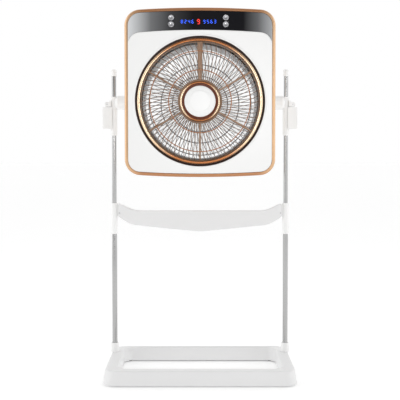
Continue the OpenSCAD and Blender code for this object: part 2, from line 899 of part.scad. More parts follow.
module louvre_hub_ring() color([0.8, 0.62, 0.4]) in_head()
    ring(wheel_hub_r - 5.6, wheel_hub_r - 10.7, wheel_front - 2, wheel_front + 3);

cap_rim_r = wheel_hub_r - 17.4;

module hub_cap() color([0.95, 0.95, 0.95]) in_head() {
    disc(cap_rim_r, wheel_front - 2, wheel_front + 4);
    translate([0, 0, wheel_front + 4])
        cylinder(r1 = cap_rim_r, r2 = cap_rim_r - 4, h = 1.5);
    disc(cap_rim_r - 13, wheel_front + 4, wheel_front + 7);
}

module duct_ring() color([0.9, 0.9, 0.9]) in_head() {
    difference() {
        union() {
            ring(duct_in_r + duct_wall, duct_in_r, rear_in, spider_back - 4);
            ring(duct_flange_r, duct_in_r, rear_in, rear_in + 2.5);
        }
        around(6, guard_screw_r, 30) disc(screw_r + 0.02, rear_in - over, rear_in + 5);
        around(6, rim_screw_r, 0) disc(screw_r + 0.02, rear_in - over, rear_in + 5);
    }
}

guard_hub_r = 54;
rib_w = 1.6;

module rear_guard() color([0.2, 0.2, 0.21]) in_head() {
    difference() {
        union() {
            ring(guard_r, duct_in_r + 8.5, -head_back, rear_in);
            ring(duct_in_r - 42, duct_in_r - 44.5, -head_back, rear_in);
            disc(guard_hub_r, -head_back, rear_in);
            for (i = [0:guard_ribs - 1]) rotate([0, 0, (i + 0.5) * 360 / guard_ribs])
                block([guard_hub_r - 1, -rib_w / 2, -head_back + 0.2],
                    [duct_in_r + 9.5, rib_w / 2, rear_in]);
        }
        around(6, rim_screw_r, 0) disc(screw_r + screw_play, -head_back - over, rear_in + over);
    }
}

// Motor, stacked forward from the rear guard's hub
motor_back = rear_in;
motor_front = motor_back + motor_len;
motor_mid = (motor_back + motor_front) / 2;
cover_wall = 2;
stack_half = 10;
bush_len = 8;
bush_r = shaft_r + 5;
bore_r = motor_r - cover_wall - 16;

module bush_seat(z0) {
    ring(bush_r + 3, bush_r + snug, z0, z0 + bush_len);
}

module motor_rear_cover() color([0.72, 0.72, 0.73]) in_head() {
    disc(motor_r, motor_back, motor_back + 3);
    ring(motor_r, motor_r - cover_wall, motor_back, motor_mid);
    bush_seat(motor_back + 3);
}

module motor_front_cover() color([0.72, 0.72, 0.73]) in_head() {
    ring(motor_r, motor_r - cover_wall, motor_mid, motor_front);
    ring(motor_r, shaft_r + 1, motor_front - 3, motor_front);
    bush_seat(motor_front - 3 - bush_len);
}

module stator_core() color([0.4, 0.42, 0.45]) in_head()
    ring(motor_r - cover_wall - snug, bore_r + 0.4, motor_mid - stack_half, motor_mid + stack_half);

module stator_windings() color([0.72, 0.4, 0.2]) in_head() {
    for (z = [motor_mid - stack_half - 6, motor_mid + stack_half])
        ring(motor_r - cover_wall - 2, bore_r + 2, z, z + 6);
}

module shaft_bushes() color([0.7, 0.58, 0.35]) in_head() {
    for (z = [motor_back + 3, motor_front - 3 - bush_len])
        ring(bush_r, shaft_r + running, z, z + bush_len);
}

module rotor_core() color([0.5, 0.5, 0.52]) in_head()
    ring(bore_r, shaft_r + snug, motor_mid - stack_half, motor_mid + stack_half);

hub_back = motor_front + 3;
hub_front = hub_back + 24;
nut_len = 9;

module motor_shaft() color([0.75, 0.75, 0.77]) in_head()
    disc(shaft_r, motor_back + 3.3, hub_front + nut_len - 2);

// Blade seen square on, before it is pitched
blade_root_half = 26;
blade_tip_half = 52;

module blade_plan() {
    polygon([
        [impeller_hub_r - 9, -blade_root_half], [blade_r * 0.55, -blade_root_half - 14],
        [blade_r + 10, -blade_tip_half], [blade_r + 10, blade_tip_half - 6],
        [blade_r * 0.55, blade_root_half + 8], [impeller_hub_r - 9, blade_root_half - 4]
    ]);
}

module impeller() color([0.93, 0.93, 0.92]) in_head() {
    ring(impeller_hub_r, impeller_hub_r - 2.5, hub_back, hub_front);
    ring(impeller_hub_r, shaft_r + snug, hub_front - 3, hub_front);
    ring(shaft_r + 5, shaft_r + snug, hub_back + 3, hub_front);
    difference() {
        around(blades, 0, 360 / blades / 2)
            translate([0, 0, (hub_back + hub_front) / 2]) rotate([blade_pitch, 0, 0])
                linear_extrude(2.4, center = true) blade_plan();
        disc(impeller_hub_r - 1, -100, 100);
        ring(2 * blade_r, blade_r, -100, 100);
    }
}

module blade_nut() color([0.2, 0.2, 0.21]) in_head() {
    difference() {
        translate([0, 0, hub_front]) cylinder(r = 11, h = nut_len, $fn = 12);
        disc(shaft_r + snug, hub_front - over, hub_front + nut_len - 1.5);
    }
}

module run_capacitor() color([0.12, 0.12, 0.13]) in_head()
    block([head_w / 2 - 82, 16 - head_down, rear_in], [head_w / 2 - 42, 44 - head_down, rear_in + 20]);

// Gland that the mains lead would pass through
module cord_inlet() color([0.1, 0.1, 0.1]) in_head() {
    translate([-inlet_x, inlet_y, 0]) {
        ring(inlet_r, inlet_bore_r, -head_back - over, rear_in + 5);
        ring(inlet_r + 3, inlet_bore_r, -head_back - 2.5, -head_back);
        ring(inlet_r + 3, inlet_bore_r, rear_in, rear_in + 4);
    }
}

// All the screws of the housing: the long ones, the guard's and the spider's
module housing_screws() color([0.6, 0.6, 0.62]) in_head() {
    for (row = [[guard_screw_r, 30], [rim_screw_r, 0]])
        around(6, row[0], row[1]) {
            disc(screw_head_r, -head_back - screw_head_h, -head_back);
            disc(screw_r, -head_back - over, rear_in + 2.2);
        }
    at_housing_screws() {
        disc(screw_head_r, tower_end - screw_head_h, tower_end);
        disc(screw_r, tower_end - over, tower_end + tower_floor + 14);
    }
    around(spokes, spider_screw_r, 30) {
        disc(screw_head_r, spider_back - screw_head_h, spider_back);
        disc(screw_r, spider_back - over, shelf_back - 3);
    }
}

// ---------------------------------------------------------------- the part

base_frame();
base_plate();
rubber_feet();
stand_screws();
post_socket(-1);  // post_socket_left
post_socket(1);  // post_socket_right
tube_inserts();
post_bolts();
lower_tube(-1);  // lower_tube_left
lower_tube(1);  // lower_tube_right
coupling(-1);  // coupling_left
coupling(1);  // coupling_right
cross_brace();
upper_tube(-1);  // upper_tube_left
upper_tube(1);  // upper_tube_right
tube_cap(-1);  // tube_cap_left
tube_cap(1);  // tube_cap_right
slide_sleeve(-1);  // slide_sleeve_left
slide_sleeve(1);  // slide_sleeve_right
pivot_hub(-1);  // pivot_hub_left
pivot_hub(1);  // pivot_hub_right
pivot_bolts();
pivot_nuts();
friction_washers();
clamp_shoes();
lever_pins();
lock_lever(-1);  // lock_lever_left
lock_lever(1);  // lock_lever_right
rear_shell();
trim_band();
front_panel();
control_lens();
shadow_ring();
bezel_ring();
display_module();
circuit_board();
key_switches();
button(0);  // timer_button
button(1);  // speed_button
button(2);  // louvre_button
button(3);  // power_button
louvre_spider();
louvre_motor();
louvre_wheel();
louvre_hub_ring();
hub_cap();
duct_ring();
rear_guard();
motor_front_cover();
motor_rear_cover();
stator_core();
stator_windings();
shaft_bushes();
rotor_core();
motor_shaft();
impeller();
blade_nut();
run_capacitor();
cord_inlet();
housing_screws();
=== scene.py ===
"""Box fan on a two-post stand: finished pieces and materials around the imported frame."""

import json
import math

import bmesh
import bpy
from bpy.props import FloatProperty, FloatVectorProperty, IntProperty, PointerProperty
from mathutils import Matrix, Vector


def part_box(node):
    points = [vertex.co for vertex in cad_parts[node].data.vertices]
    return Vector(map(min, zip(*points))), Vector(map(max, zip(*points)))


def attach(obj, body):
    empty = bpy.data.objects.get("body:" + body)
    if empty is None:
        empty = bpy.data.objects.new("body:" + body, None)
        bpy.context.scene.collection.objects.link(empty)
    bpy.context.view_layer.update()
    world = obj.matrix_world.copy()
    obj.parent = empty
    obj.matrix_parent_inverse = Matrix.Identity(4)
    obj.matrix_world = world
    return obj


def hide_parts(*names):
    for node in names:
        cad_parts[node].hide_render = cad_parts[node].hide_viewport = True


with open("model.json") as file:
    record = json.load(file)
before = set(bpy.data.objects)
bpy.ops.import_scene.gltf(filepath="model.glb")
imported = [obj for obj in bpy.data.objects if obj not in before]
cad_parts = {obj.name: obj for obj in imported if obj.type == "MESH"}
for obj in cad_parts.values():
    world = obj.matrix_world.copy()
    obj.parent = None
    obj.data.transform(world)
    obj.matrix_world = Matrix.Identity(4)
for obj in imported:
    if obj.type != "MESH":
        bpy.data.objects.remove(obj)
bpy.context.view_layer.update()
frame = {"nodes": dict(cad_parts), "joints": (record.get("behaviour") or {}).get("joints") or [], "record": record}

bl_info = {
    "name": "Box fan on a two-post stand",
    "version": (1, 0, 0),
    "blender": (4, 5, 0),
    "location": "View3D > Sidebar > Fan",
    "description": "Builds a box fan with a turning louvre wheel on a two-post stand",
    "category": "Add Mesh",
}

MM = 0.001
FULL_TURN = 2 * math.pi

# ------------------------------------------------------------------ places from the frame

JOINTS = {joint["name"]: joint for joint in frame["joints"]}
BODY_OF = {
    node: body
    for body, nodes in frame["record"]["behaviour"]["bodies"].items()
    for node in nodes
}
SLOT_OF = {part["node"]: part["material_slot"] for part in frame["record"]["subparts"]}
TILT_AXIS = Vector(JOINTS["head_tilt"]["pos_m"])
# The head's own axes: X to the right, Y up, Z forward from the tilt axis
HEAD = Matrix.Translation(TILT_AXIS) @ Matrix.Rotation(math.radians(90), 4, "X")


def low(node):
    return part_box(node)[0]


def high(node):
    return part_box(node)[1]


def width(node, axis=0):
    """Size of a CAD node along one of the frame's axes."""
    return high(node)[axis] - low(node)[axis]


def middle(node):
    return (Vector(low(node)) + Vector(high(node))) / 2


def ahead(node):
    """How far a node reaches forward of the tilt axis."""
    return TILT_AXIS.y - low(node)[1]


def behind(node):
    """Where a node starts, measured forward from the tilt axis."""
    return TILT_AXIS.y - high(node)[1]


def above(node):
    """Top of a node, measured up from the tilt axis."""
    return high(node)[2] - TILT_AXIS.z


def below(node):
    """Foot of a node, measured up from the tilt axis."""
    return low(node)[2] - TILT_AXIS.z


def in_head(node):
    """Middle of a node in the head's own axes."""
    return HEAD.inverted() @ middle(node)


def post(side):
    """Axes of the right or left post, the left one mirrored."""
    at = Vector((abs(middle("upper_tube_right").x), TILT_AXIS.y, 0))
    flip = Matrix.Scale(side, 4, (1, 0, 0))
    return flip @ Matrix.Translation(at)


SIDES = ((1, "right"), (-1, "left"))

# ------------------------------------------------------------------ sizes and colours


def length(name, value, description):
    return FloatProperty(name=name, default=value, description=description, unit="LENGTH")


def colour(name, value, description):
    return FloatVectorProperty(
        name=name, default=value, description=description, subtype="COLOR", min=0, max=1
    )


class FanSizes(bpy.types.PropertyGroup):
    """Sizes of the details that the frame doesn't give"""

    corner_r: length("Head corner", 42 * MM, "Corner radius of the head's outline")
    bow: length("Head bow", 6 * MM, "How far the head's top and bottom edges bow outwards")
    trim_w: length("Trim width", 9 * MM, "Width of the trim band seen from the front")
    wall: length("Shell wall", 2.8 * MM, "Wall of the housing")
    arch_drop: length("Control strip", 59.4 * MM, "Height of the control strip at the middle")
    arch_r: length("Face corner", 33 * MM, "Corner radius of the white face")
    vanes: IntProperty(name="Vanes", default=68, description="Vanes in the louvre wheel")
    vane_t: length("Vane thickness", 1.5 * MM, "Thickness of a louvre vane")
    vane_sweep: FloatProperty(
        name="Vane sweep", default=math.radians(14.8), subtype="ANGLE",
        description="Angle a vane sweeps through from hub to rim",
    )
    vane_tilt: FloatProperty(
        name="Vane tilt", default=math.radians(3), subtype="ANGLE",
        description="Angle a vane leans away from straight ahead",
    )
    ribs: IntProperty(name="Guard ribs", default=90, description="Ribs in the rear guard")
    side_leg: length("Side leg", 36.5 * MM, "Width of the base ring's side legs")
    front_leg: length("Front leg", 33 * MM, "Width of the base ring's front leg")
    rear_leg: length("Rear leg", 24 * MM, "Width of the base ring's rear leg")


class FanColours(bpy.types.PropertyGroup):
    """Colours of the finishes"""

    white: colour("White", (0.87, 0.87, 0.865), "Moulded housing, sleeves, caps and sockets")
    satin: colour("Satin white", (0.83, 0.83, 0.83), "Brace and base")
    copper: colour("Copper", (0.48, 0.215, 0.092), "Top and foot of the lacquered trim band")
    # The paler sides of the trim band are a painted highlight
    trim_side_highlight: colour("Pale copper", (0.74, 0.47, 0.27), "Sides of the trim band")
    # Gold is the rings' own colour and also their painted highlight at the sides
    gold_and_side_highlight: colour("Gold", (0.98, 0.78, 0.54), "Sides of the polished rings")
    # Copper is the hoops' own colour and the rings' painted shade at their top and foot
    copper_and_ring_shade: colour("Ring copper", (0.42, 0.165, 0.065), "Top and foot of the rings")
    bronze: colour("Bronze", (0.24, 0.145, 0.09), "Louvre vanes and spokes")
    black: colour("Black", (0.008, 0.008, 0.010), "Middle of the control strip")
    # The silver at the strip's ends is a painted reflection
    painted_reflection_silver: colour("Silver", (0.55, 0.56, 0.57), "Ends of the control strip")
    steel: colour("Steel", (0.46, 0.46, 0.46), "Stand tubes")
    chrome: colour("Chrome", (0.46, 0.46, 0.48), "Push buttons")
    blue: colour("Blue light", (0.02, 0.10, 0.9), "Lit figures")
    red: colour("Red light", (0.9, 0.03, 0.02), "Lit middle figure")


def sizes():
    return bpy.context.scene.fan_sizes


def colours():
    return bpy.context.scene.fan_colours


# ------------------------------------------------------------------ outlines


def arc(cx, cy, r, start, end, steps):
    """Points along an arc, angles in radians."""
    return [
        (cx + r * math.cos(start + (end - start) * i / steps),
         cy + r * math.sin(start + (end - start) * i / steps))
        for i in range(steps + 1)
    ]


def bowed_outline(half_w, top, bottom, corner, bow, inset):
    """Rounded outline with a bowed top and bottom: (upper half, lower half)."""
    half = half_w - corner * 0.6
    big = (half * half + bow * bow) / (2 * bow)
    cx = half_w - corner
    rise = math.sqrt((big - corner) ** 2 - cx * cx)
    turn = math.atan2(rise, cx)
    up, down = top - big, bottom + big
    upper = (
        arc(cx, up + rise, corner - inset, 0, turn, 10)
        + arc(0, up, big - inset, turn, math.pi - turn, 24)[1:-1]
        + arc(-cx, up + rise, corner - inset, math.pi - turn, math.pi, 10)
    )
    lower = (
        arc(-cx, down - rise, corner - inset, math.pi, math.pi + turn, 10)
        + arc(0, down, big - inset, math.pi + turn, FULL_TURN - turn, 24)[1:-1]
        + arc(cx, down - rise, corner - inset, FULL_TURN - turn, FULL_TURN, 10)
    )
    return upper, lower


def head_halves(inset):
    s = sizes()
    return bowed_outline(width("rear_shell") / 2, above("rear_shell"), below("rear_shell"),
                         s.corner_r, s.bow, inset)


def head_outline(inset):
    upper, lower = head_halves(inset)
    return upper + lower


def arch(grow=0.0):
    """Upper edge of the white face, from right to left."""
    s = sizes()
    half = width("rear_shell") / 2 - s.trim_w - 0.6 * MM
    top = above("rear_shell") - s.arch_drop
    return bowed_outline(half, top, -top, s.arch_r, 7 * MM, -grow)[0]


def eased(points, radius, steps=4, loop=False):
    """Rounds the corners of a line of points."""
    made = []
    count = len(points)
    for i, point in enumerate(points):
        if not loop and i in (0, count - 1):
            made.append(tuple(point))
            continue
        here = Vector(point)
        before = Vector(points[i - 1])
        after = Vector(points[(i + 1) % count])
        reach = min(radius, (before - here).length * 0.49, (after - here).length * 0.49)
        start = here + (before - here).normalized() * reach
        end = here + (after - here).normalized() * reach
        for k in range(steps + 1):
            t = k / steps
            made.append(tuple(start * (1 - t) ** 2 + here * (2 * t * (1 - t)) + end * t * t))
    return made


# ------------------------------------------------------------------ modelling steps


def select_none():
    if bpy.context.object and bpy.context.object.mode != "OBJECT":
        bpy.ops.object.mode_set(mode="OBJECT")
    bpy.ops.object.select_all(action="DESELECT")


def only(piece):
    select_none()
    piece.select_set(True)
    bpy.context.view_layer.objects.active = piece


def begin(name, add, **size):
    """Adds a primitive under a name and opens it in edit mode, selected all over."""
    select_none()
    add(**size)
    piece = bpy.context.object
    piece.name = piece.data.name = name
    bpy.ops.object.transform_apply(location=True, rotation=True, scale=True)
    bpy.ops.object.mode_set(mode="EDIT")
    bpy.ops.mesh.select_all(action="SELECT")
    return piece


def pick(kind, test):
    """Selects the open piece's vertices, edges or faces whose middle and direction pass a test."""
    bpy.ops.mesh.select_mode(type=kind)
    bpy.ops.mesh.select_all(action="DESELECT")
    mesh = bpy.context.object.data
    shape = bmesh.from_edit_mesh(mesh)
    shape.normal_update()
    for part in {"VERT": shape.verts, "EDGE": shape.edges, "FACE": shape.faces}[kind]:
        if kind == "VERT":
            at, way = part.co, part.normal
        elif kind == "EDGE":
            at = (part.verts[0].co + part.verts[1].co) / 2
            way = (part.verts[1].co - part.verts[0].co).normalized()
        else:
            at, way = part.calc_center_median(), part.normal
        if test(at, way):
            part.select_set(True)
    shape.select_flush_mode()
    bmesh.update_edit_mesh(mesh)


def extrude(x=0.0, y=0.0, z=0.0):
    bpy.ops.mesh.extrude_region_move(TRANSFORM_OT_translate={"value": (x, y, z)})


def resize(x, y, z, about):
    bpy.ops.transform.resize(value=(x, y, z), center_override=about)


def round_edges(offset, steps, test):
    """Rounds the open piece's edges that pass a test."""
    pick("EDGE", test)
    bpy.ops.mesh.bevel(offset=offset, segments=steps, affect="EDGES")


def close():
    """Turns the open piece's faces outwards and leaves edit mode."""
    bpy.ops.mesh.select_all(action="SELECT")
    bpy.ops.mesh.normals_make_consistent(inside=False)
    bpy.ops.object.mode_set(mode="OBJECT")
    return bpy.context.object


def reopen(piece):
    """Opens a closed piece in edit mode."""
    only(piece)
    bpy.ops.object.mode_set(mode="EDIT")


def rounded(piece, offset, steps, test):
    """Rounds a closed piece's edges that pass a test."""
    reopen(piece)
    round_edges(offset, steps, test)
    return close()


def modify(piece, kind, **settings):
    only(piece)
    change = piece.modifiers.new(kind.title(), kind)
    for key, value in settings.items():
        setattr(change, key, value)
    bpy.ops.object.modifier_apply(modifier=change.name)
    return piece


def smooth(piece, angle=32):
    """Shades curved faces smooth and keeps flat faces flat."""
    only(piece)
    bpy.ops.object.shade_smooth_by_angle(angle=math.radians(angle))
    return modify(piece, "WEIGHTED_NORMAL", keep_sharp=True)


def soften(piece, offset, steps=3, angle=40):
    """Rounds every edge sharper than an angle, then smooths the shading."""
    modify(piece, "BEVEL", width=offset, segments=steps, limit_method="ANGLE",
           angle_limit=math.radians(angle), use_clamp_overlap=True)
    return smooth(piece)


def cut(piece, tool):
    modify(piece, "BOOLEAN", operation="DIFFERENCE", object=tool, solver="EXACT")
    bpy.data.objects.remove(tool)
    return piece


def fuse(piece, other):
    modify(piece, "BOOLEAN", operation="UNION", object=other, solver="EXACT")
    bpy.data.objects.remove(other)
    return piece


def place(piece, matrix):
    """Moves a piece's mesh, and turns its faces outwards again if it was mirrored."""
    piece.data.transform(matrix)
    if matrix.determinant() < 0:
        piece.data.flip_normals()
    return piece


def copies(piece, matrices):
    """Repeats a piece, each copy with its own mesh, and joins the copies."""
    made = []
    for matrix in matrices:
        only(piece)
        bpy.ops.object.duplicate(linked=False)
        made.append(place(bpy.context.object, matrix))
    name = piece.name
    bpy.data.objects.remove(piece)
    return join(made, name)


def join(pieces, name):
    select_none()
    for piece in pieces:
        piece.select_set(True)
    bpy.context.view_layer.objects.active = pieces[0]
    if len(pieces) > 1:
        bpy.ops.object.join()
    joined = bpy.context.object
    joined.name = joined.data.name = name
    return joined


def around(count, start=0.0):
    """Equal turns about Z."""
    return [Matrix.Rotation(start + FULL_TURN * i / count, 4, "Z") for i in range(count)]


def turned(name, profile, steps=64, ring=False):
    """A piece turned about Z from (radius, height) points; a ring closes on its first point."""
    r, z = profile[0]
    begin(name, bpy.ops.mesh.primitive_circle_add, vertices=steps, radius=r, location=(0, 0, z))
    bpy.ops.mesh.select_mode(type="EDGE")
    for next_r, next_z in profile[1:] + ([profile[0]] if ring else []):
        extrude(z=next_z - z)
        if next_r > 0:
            resize(next_r / r, next_r / r, 1, (0, 0, next_z))
        else:
            bpy.ops.mesh.merge(type="CENTER")
        r, z = next_r, next_z
    if ring:
        bpy.ops.mesh.select_all(action="SELECT")
        bpy.ops.mesh.remove_doubles(threshold=0.001 * MM)
    else:
        if r > 0:
            bpy.ops.mesh.edge_face_add()
        first_z = profile[0][1]
        first_r = profile[0][0]
        pick("VERT", lambda at, way: abs(at.z - first_z) < 1e-7
             and abs(math.hypot(at.x, at.y) - first_r) < 1e-6)
        bpy.ops.mesh.edge_face_add()
    return close()


def hollow(name, outer, inner, z0, z1, ease, steps=64):
    """A turned sleeve with eased edges."""
    corners = [(outer, z0), (outer, z1), (inner, z1), (inner, z0)]
    return smooth(turned(name, eased(corners, ease, 3, loop=True), steps, ring=True))


def slab(name, outline, z0, z1):
    """An outline raised from z0 to z1."""
    select_none()
    bpy.ops.mesh.primitive_circle_add(vertices=len(outline), radius=1)
    piece = bpy.context.object
    piece.name = piece.data.name = name
    for vertex, (x, y) in zip(piece.data.vertices, outline):
        vertex.co = (x, y, z0)
    bpy.ops.object.mode_set(mode="EDIT")
    bpy.ops.mesh.select_all(action="SELECT")
    bpy.ops.mesh.edge_face_add()
    extrude(z=z1 - z0)
    return close()


def block(name, lowest, highest, corner=0.0, steps=6):
    """A box between two corners, its upright edges rounded if asked."""
    a, b = Vector(lowest), Vector(highest)
    begin(name, bpy.ops.mesh.primitive_cube_add, size=1, location=(0, 0, 0))
    resize(*(b - a), (0, 0, 0))
    bpy.ops.transform.translate(value=(a + b) / 2)
    if corner:
        round_edges(corner, steps, lambda at, way: abs(way.z) > 0.99)
    return close()


def rod(name, r, start, end, steps=32):
    """A round bar between two points."""
    a, b = Vector(start), Vector(end)
    piece = turned(name, [(r, 0), (r, (b - a).length)], steps)
    aim = (b - a).to_track_quat("Z", "Y").to_matrix().to_4x4()
    return place(piece, Matrix.Translation(a) @ aim)


# ------------------------------------------------------------------ materials


def effect(name, inputs, outputs):
    """An empty shader group with named sockets: (tree, input node, output node)."""
    tree = bpy.data.node_groups.new(name, "ShaderNodeTree")
    for label, kind in inputs:
        tree.interface.new_socket(name=label, in_out="INPUT", socket_type=kind)
    for label, kind in outputs:
        tree.interface.new_socket(name=label, in_out="OUTPUT", socket_type=kind)
    return tree, tree.nodes.new("NodeGroupInput"), tree.nodes.new("NodeGroupOutput")


def node(tree, kind, links=(), **settings):
    """Adds a node, sets its options and feeds its inputs with sockets or values."""
    made = tree.nodes.new(kind)
    for key, value in settings.items():
        setattr(made, key, value)
    for key, value in dict(links).items():
        if isinstance(value, bpy.types.NodeSocket):
            tree.links.new(value, made.inputs[key])
        else:
            made.inputs[key].default_value = value
    return made


def surface_effect():
    """Fine grain for bump, and broad patches that vary colour and gloss a little."""
    name = "Moulded surface"
    if name in bpy.data.node_groups:
        return bpy.data.node_groups[name]
    number, shade = "NodeSocketFloat", "NodeSocketColor"
    tree, given, result = effect(
        name,
        [("Colour", shade), ("Roughness", number), ("Grain Scale", number),
         ("Patch Scale", number), ("Variation", number), ("Stretch", "NodeSocketVector")],
        [("Colour", shade), ("Roughness", number), ("Height", number)],
    )
    place_at = node(tree, "ShaderNodeTexCoord").outputs["Object"]
    stretched = node(tree, "ShaderNodeVectorMath", {0: place_at, 1: given.outputs["Stretch"]},
                     operation="MULTIPLY").outputs[0]
    grain = node(tree, "ShaderNodeTexNoise",
                 {"Vector": stretched, "Scale": given.outputs["Grain Scale"], "Detail": 3.0})
    patch = node(tree, "ShaderNodeTexNoise",
                 {"Vector": place_at, "Scale": given.outputs["Patch Scale"], "Detail": 4.0})
    mixed = node(tree, "ShaderNodeMath", {0: grain.outputs[0], 1: patch.outputs[0]},
                 operation="ADD").outputs[0]
    centred = node(tree, "ShaderNodeMath", {0: mixed, 1: 1.0}, operation="SUBTRACT").outputs[0]
    amount = node(tree, "ShaderNodeMath", {0: centred, 1: given.outputs["Variation"]},
                  operation="MULTIPLY").outputs[0]
    bright = node(tree, "ShaderNodeMath", {0: amount, 1: 1.0}, operation="ADD").outputs[0]
    tinted = node(tree, "ShaderNodeVectorMath", {0: given.outputs["Colour"]}, operation="SCALE")
    tree.links.new(bright, tinted.inputs["Scale"])
    rough = node(tree, "ShaderNodeMath", {0: given.outputs["Roughness"], 1: amount},
                 operation="ADD").outputs[0]
    tree.links.new(tinted.outputs[0], result.inputs["Colour"])
    tree.links.new(rough, result.inputs["Roughness"])
    tree.links.new(grain.outputs[0], result.inputs["Height"])
    return tree


def painted_highlight_effect():
    """Painted side highlight: a colour that turns to a highlight colour towards the left and right ends of a
    piece.
    """
    name = "Side tint"
    if name in bpy.data.node_groups:
        return bpy.data.node_groups[name]
    number, shade = "NodeSocketFloat", "NodeSocketColor"
    tree, given, result = effect(
        name,
        [("Colour", shade), ("Side Colour", shade), ("Half Width", number), ("Start", number)],
        [("Colour", shade)],
    )
    across = node(tree, "ShaderNodeSeparateXYZ",
                  {0: node(tree, "ShaderNodeTexCoord").outputs["Object"]}).outputs["X"]
    reach = node(tree, "ShaderNodeMath", {0: across}, operation="ABSOLUTE").outputs[0]
    share = node(tree, "ShaderNodeMapRange",
                 {"Value": reach, "From Min": given.outputs["Start"],
                  "From Max": given.outputs["Half Width"]}, interpolation_type="SMOOTHSTEP")
    mixed = node(tree, "ShaderNodeMix", {"Factor": share.outputs[0]}, data_type="RGBA")
    tree.links.new(given.outputs["Colour"], mixed.inputs["A"])
    tree.links.new(given.outputs["Side Colour"], mixed.inputs["B"])
    tree.links.new(mixed.outputs["Result"], result.inputs["Colour"])
    return tree


def with_side_highlight(material, middle_tint, highlight_tint, start, half):
    """Feeds a material's surface with the painted side highlight."""
    tree = material.node_tree
    if any(n.type == "GROUP" and n.node_tree.name == "Side tint" for n in tree.nodes):
        return material
    surface = next(n for n in tree.nodes if n.type == "GROUP")
    tint = node(tree, "ShaderNodeGroup",
                {"Colour": (*middle_tint, 1), "Side Colour": (*highlight_tint, 1), "Start": start,
                 "Half Width": half}, node_tree=painted_highlight_effect())
    tree.links.new(tint.outputs["Colour"], surface.inputs["Colour"])
    return material


def finish(name, tint, roughness=0.4, grain=900.0, patch=9.0, variation=0.05, bump=0.04,
           stretch=(1, 1, 1), **shader):
    """A material: one surface effect feeding a Principled shader."""
    if name in bpy.data.materials:
        return bpy.data.materials[name]
    material = bpy.data.materials.new(name)
    material.use_nodes = True
    tree = material.node_tree
    principled = tree.nodes["Principled BSDF"]
    surface = node(tree, "ShaderNodeGroup",
                   {"Colour": (*tint, 1), "Roughness": roughness, "Grain Scale": grain,
                    "Patch Scale": patch, "Variation": variation, "Stretch": stretch},
                   node_tree=surface_effect())
    relief = node(tree, "ShaderNodeBump",
                  {"Height": surface.outputs["Height"], "Strength": bump, "Distance": 0.1 * MM})
    tree.links.new(surface.outputs["Colour"], principled.inputs["Base Color"])
    tree.links.new(surface.outputs["Roughness"], principled.inputs["Roughness"])
    tree.links.new(relief.outputs[0], principled.inputs["Normal"])
    for key, value in shader.items():
        principled.inputs[key.replace("_", " ").title().replace("Ior", "IOR")].default_value = value
    return material


def white_plastic():
    return finish("white_plastic", colours().white, roughness=0.3, variation=0.03, bump=0.03,
                  coat_weight=0.2, coat_roughness=0.12)


def satin_white():
    return finish("satin_white", colours().satin, roughness=0.42, variation=0.04, bump=0.06)


def frosted_white():
    return finish("frosted_white", (0.98, 0.98, 0.98), roughness=0.25, variation=0.02, bump=0.01,
                  transmission_weight=0.92, ior=1.06)


def copper_lacquer():
    half = width("trim_band") / 2
    material = finish("copper_lacquer", colours().copper, roughness=0.3, grain=2600.0,
                      variation=0.12, bump=0.05, metallic=0.75, coat_weight=0.6,
                      coat_roughness=0.1)
    # The band turns paler towards its left and right ends: a painted highlight
    return with_side_highlight(material, colours().copper, colours().trim_side_highlight, half * 0.72, half)


def polished_gold(name="polished_gold"):
    return finish(name, colours().gold_and_side_highlight, roughness=0.2, grain=1200.0, variation=0.05, bump=0.004,
                  metallic=1.0)


def ring_gold(node_name):
    """Polished ring with painted light: copper at its top and foot as painted shade, pale at its sides as painted
    highlight.
    """
    half = width(node_name) / 2
    return with_side_highlight(polished_gold("ring_gold_" + node_name), colours().copper_and_ring_shade,
                       colours().gold_and_side_highlight, half * 0.35, half * 0.97)


def duct_white():
    return finish("duct_white", (0.96, 0.96, 0.96), roughness=0.5, variation=0.02, bump=0.03)


def bronze_lacquer():
    return finish("bronze_lacquer", colours().bronze, roughness=0.34, grain=2600.0,
                  variation=0.15, bump=0.05, metallic=0.55, coat_weight=0.3, coat_roughness=0.2)


def hoop_copper():
    return finish("hoop_copper", colours().copper_and_ring_shade, roughness=0.35, variation=0.08,
                  bump=0.02, metallic=0.5)


# Near-black finish that paints the shadow of the groove round the polished ring
def dark_gloss():
    return finish("dark_gloss", (0.03, 0.012, 0.007), roughness=0.3, variation=0.04, bump=0.01,
                  specular_ior_level=0.25)


def well_brown():
    return finish("well_brown", (0.15, 0.04, 0.018), roughness=0.3, variation=0.05, bump=0.01,
                  specular_ior_level=0.3)


def dark_matt():
    return finish("dark_matt", (0.03, 0.03, 0.032), roughness=0.55, variation=0.08, bump=0.15)


def guard_grey():
    return finish("guard_grey", (0.2, 0.2, 0.205), roughness=0.45, variation=0.08, bump=0.12)


def brushed_steel():
    return finish("brushed_steel", colours().steel, roughness=0.2, grain=500.0, variation=0.03,
                  bump=0.0, stretch=(1, 1, 0.02), metallic=1.0)


def bright_steel():
    return finish("bright_steel", (0.56, 0.56, 0.57), roughness=0.3, grain=1400.0,
                  variation=0.12, bump=0.05, metallic=1.0)


def satin_chrome():
    return finish("satin_chrome", colours().chrome, roughness=0.2, grain=1800.0,
                  variation=0.06, bump=0.03, metallic=1.0)


def cast_alloy():
    return finish("cast_alloy", (0.5, 0.5, 0.51), roughness=0.5, grain=420.0, variation=0.15,
                  bump=0.4, metallic=0.8)


def core_steel():
    return finish("core_steel", (0.16, 0.17, 0.19), roughness=0.45, grain=900.0, variation=0.3,
                  bump=0.3, stretch=(0.02, 1, 0.02), metallic=0.9)


def copper_wire():
    return finish("copper_wire", (0.5, 0.2, 0.07), roughness=0.3, grain=700.0, variation=0.3,
                  bump=0.6, stretch=(0.1, 1, 0.1), metallic=0.9)


def sintered_bronze():
    return finish("sintered_bronze", (0.42, 0.29, 0.12), roughness=0.5, grain=1500.0,
                  variation=0.25, bump=0.3, metallic=0.9)


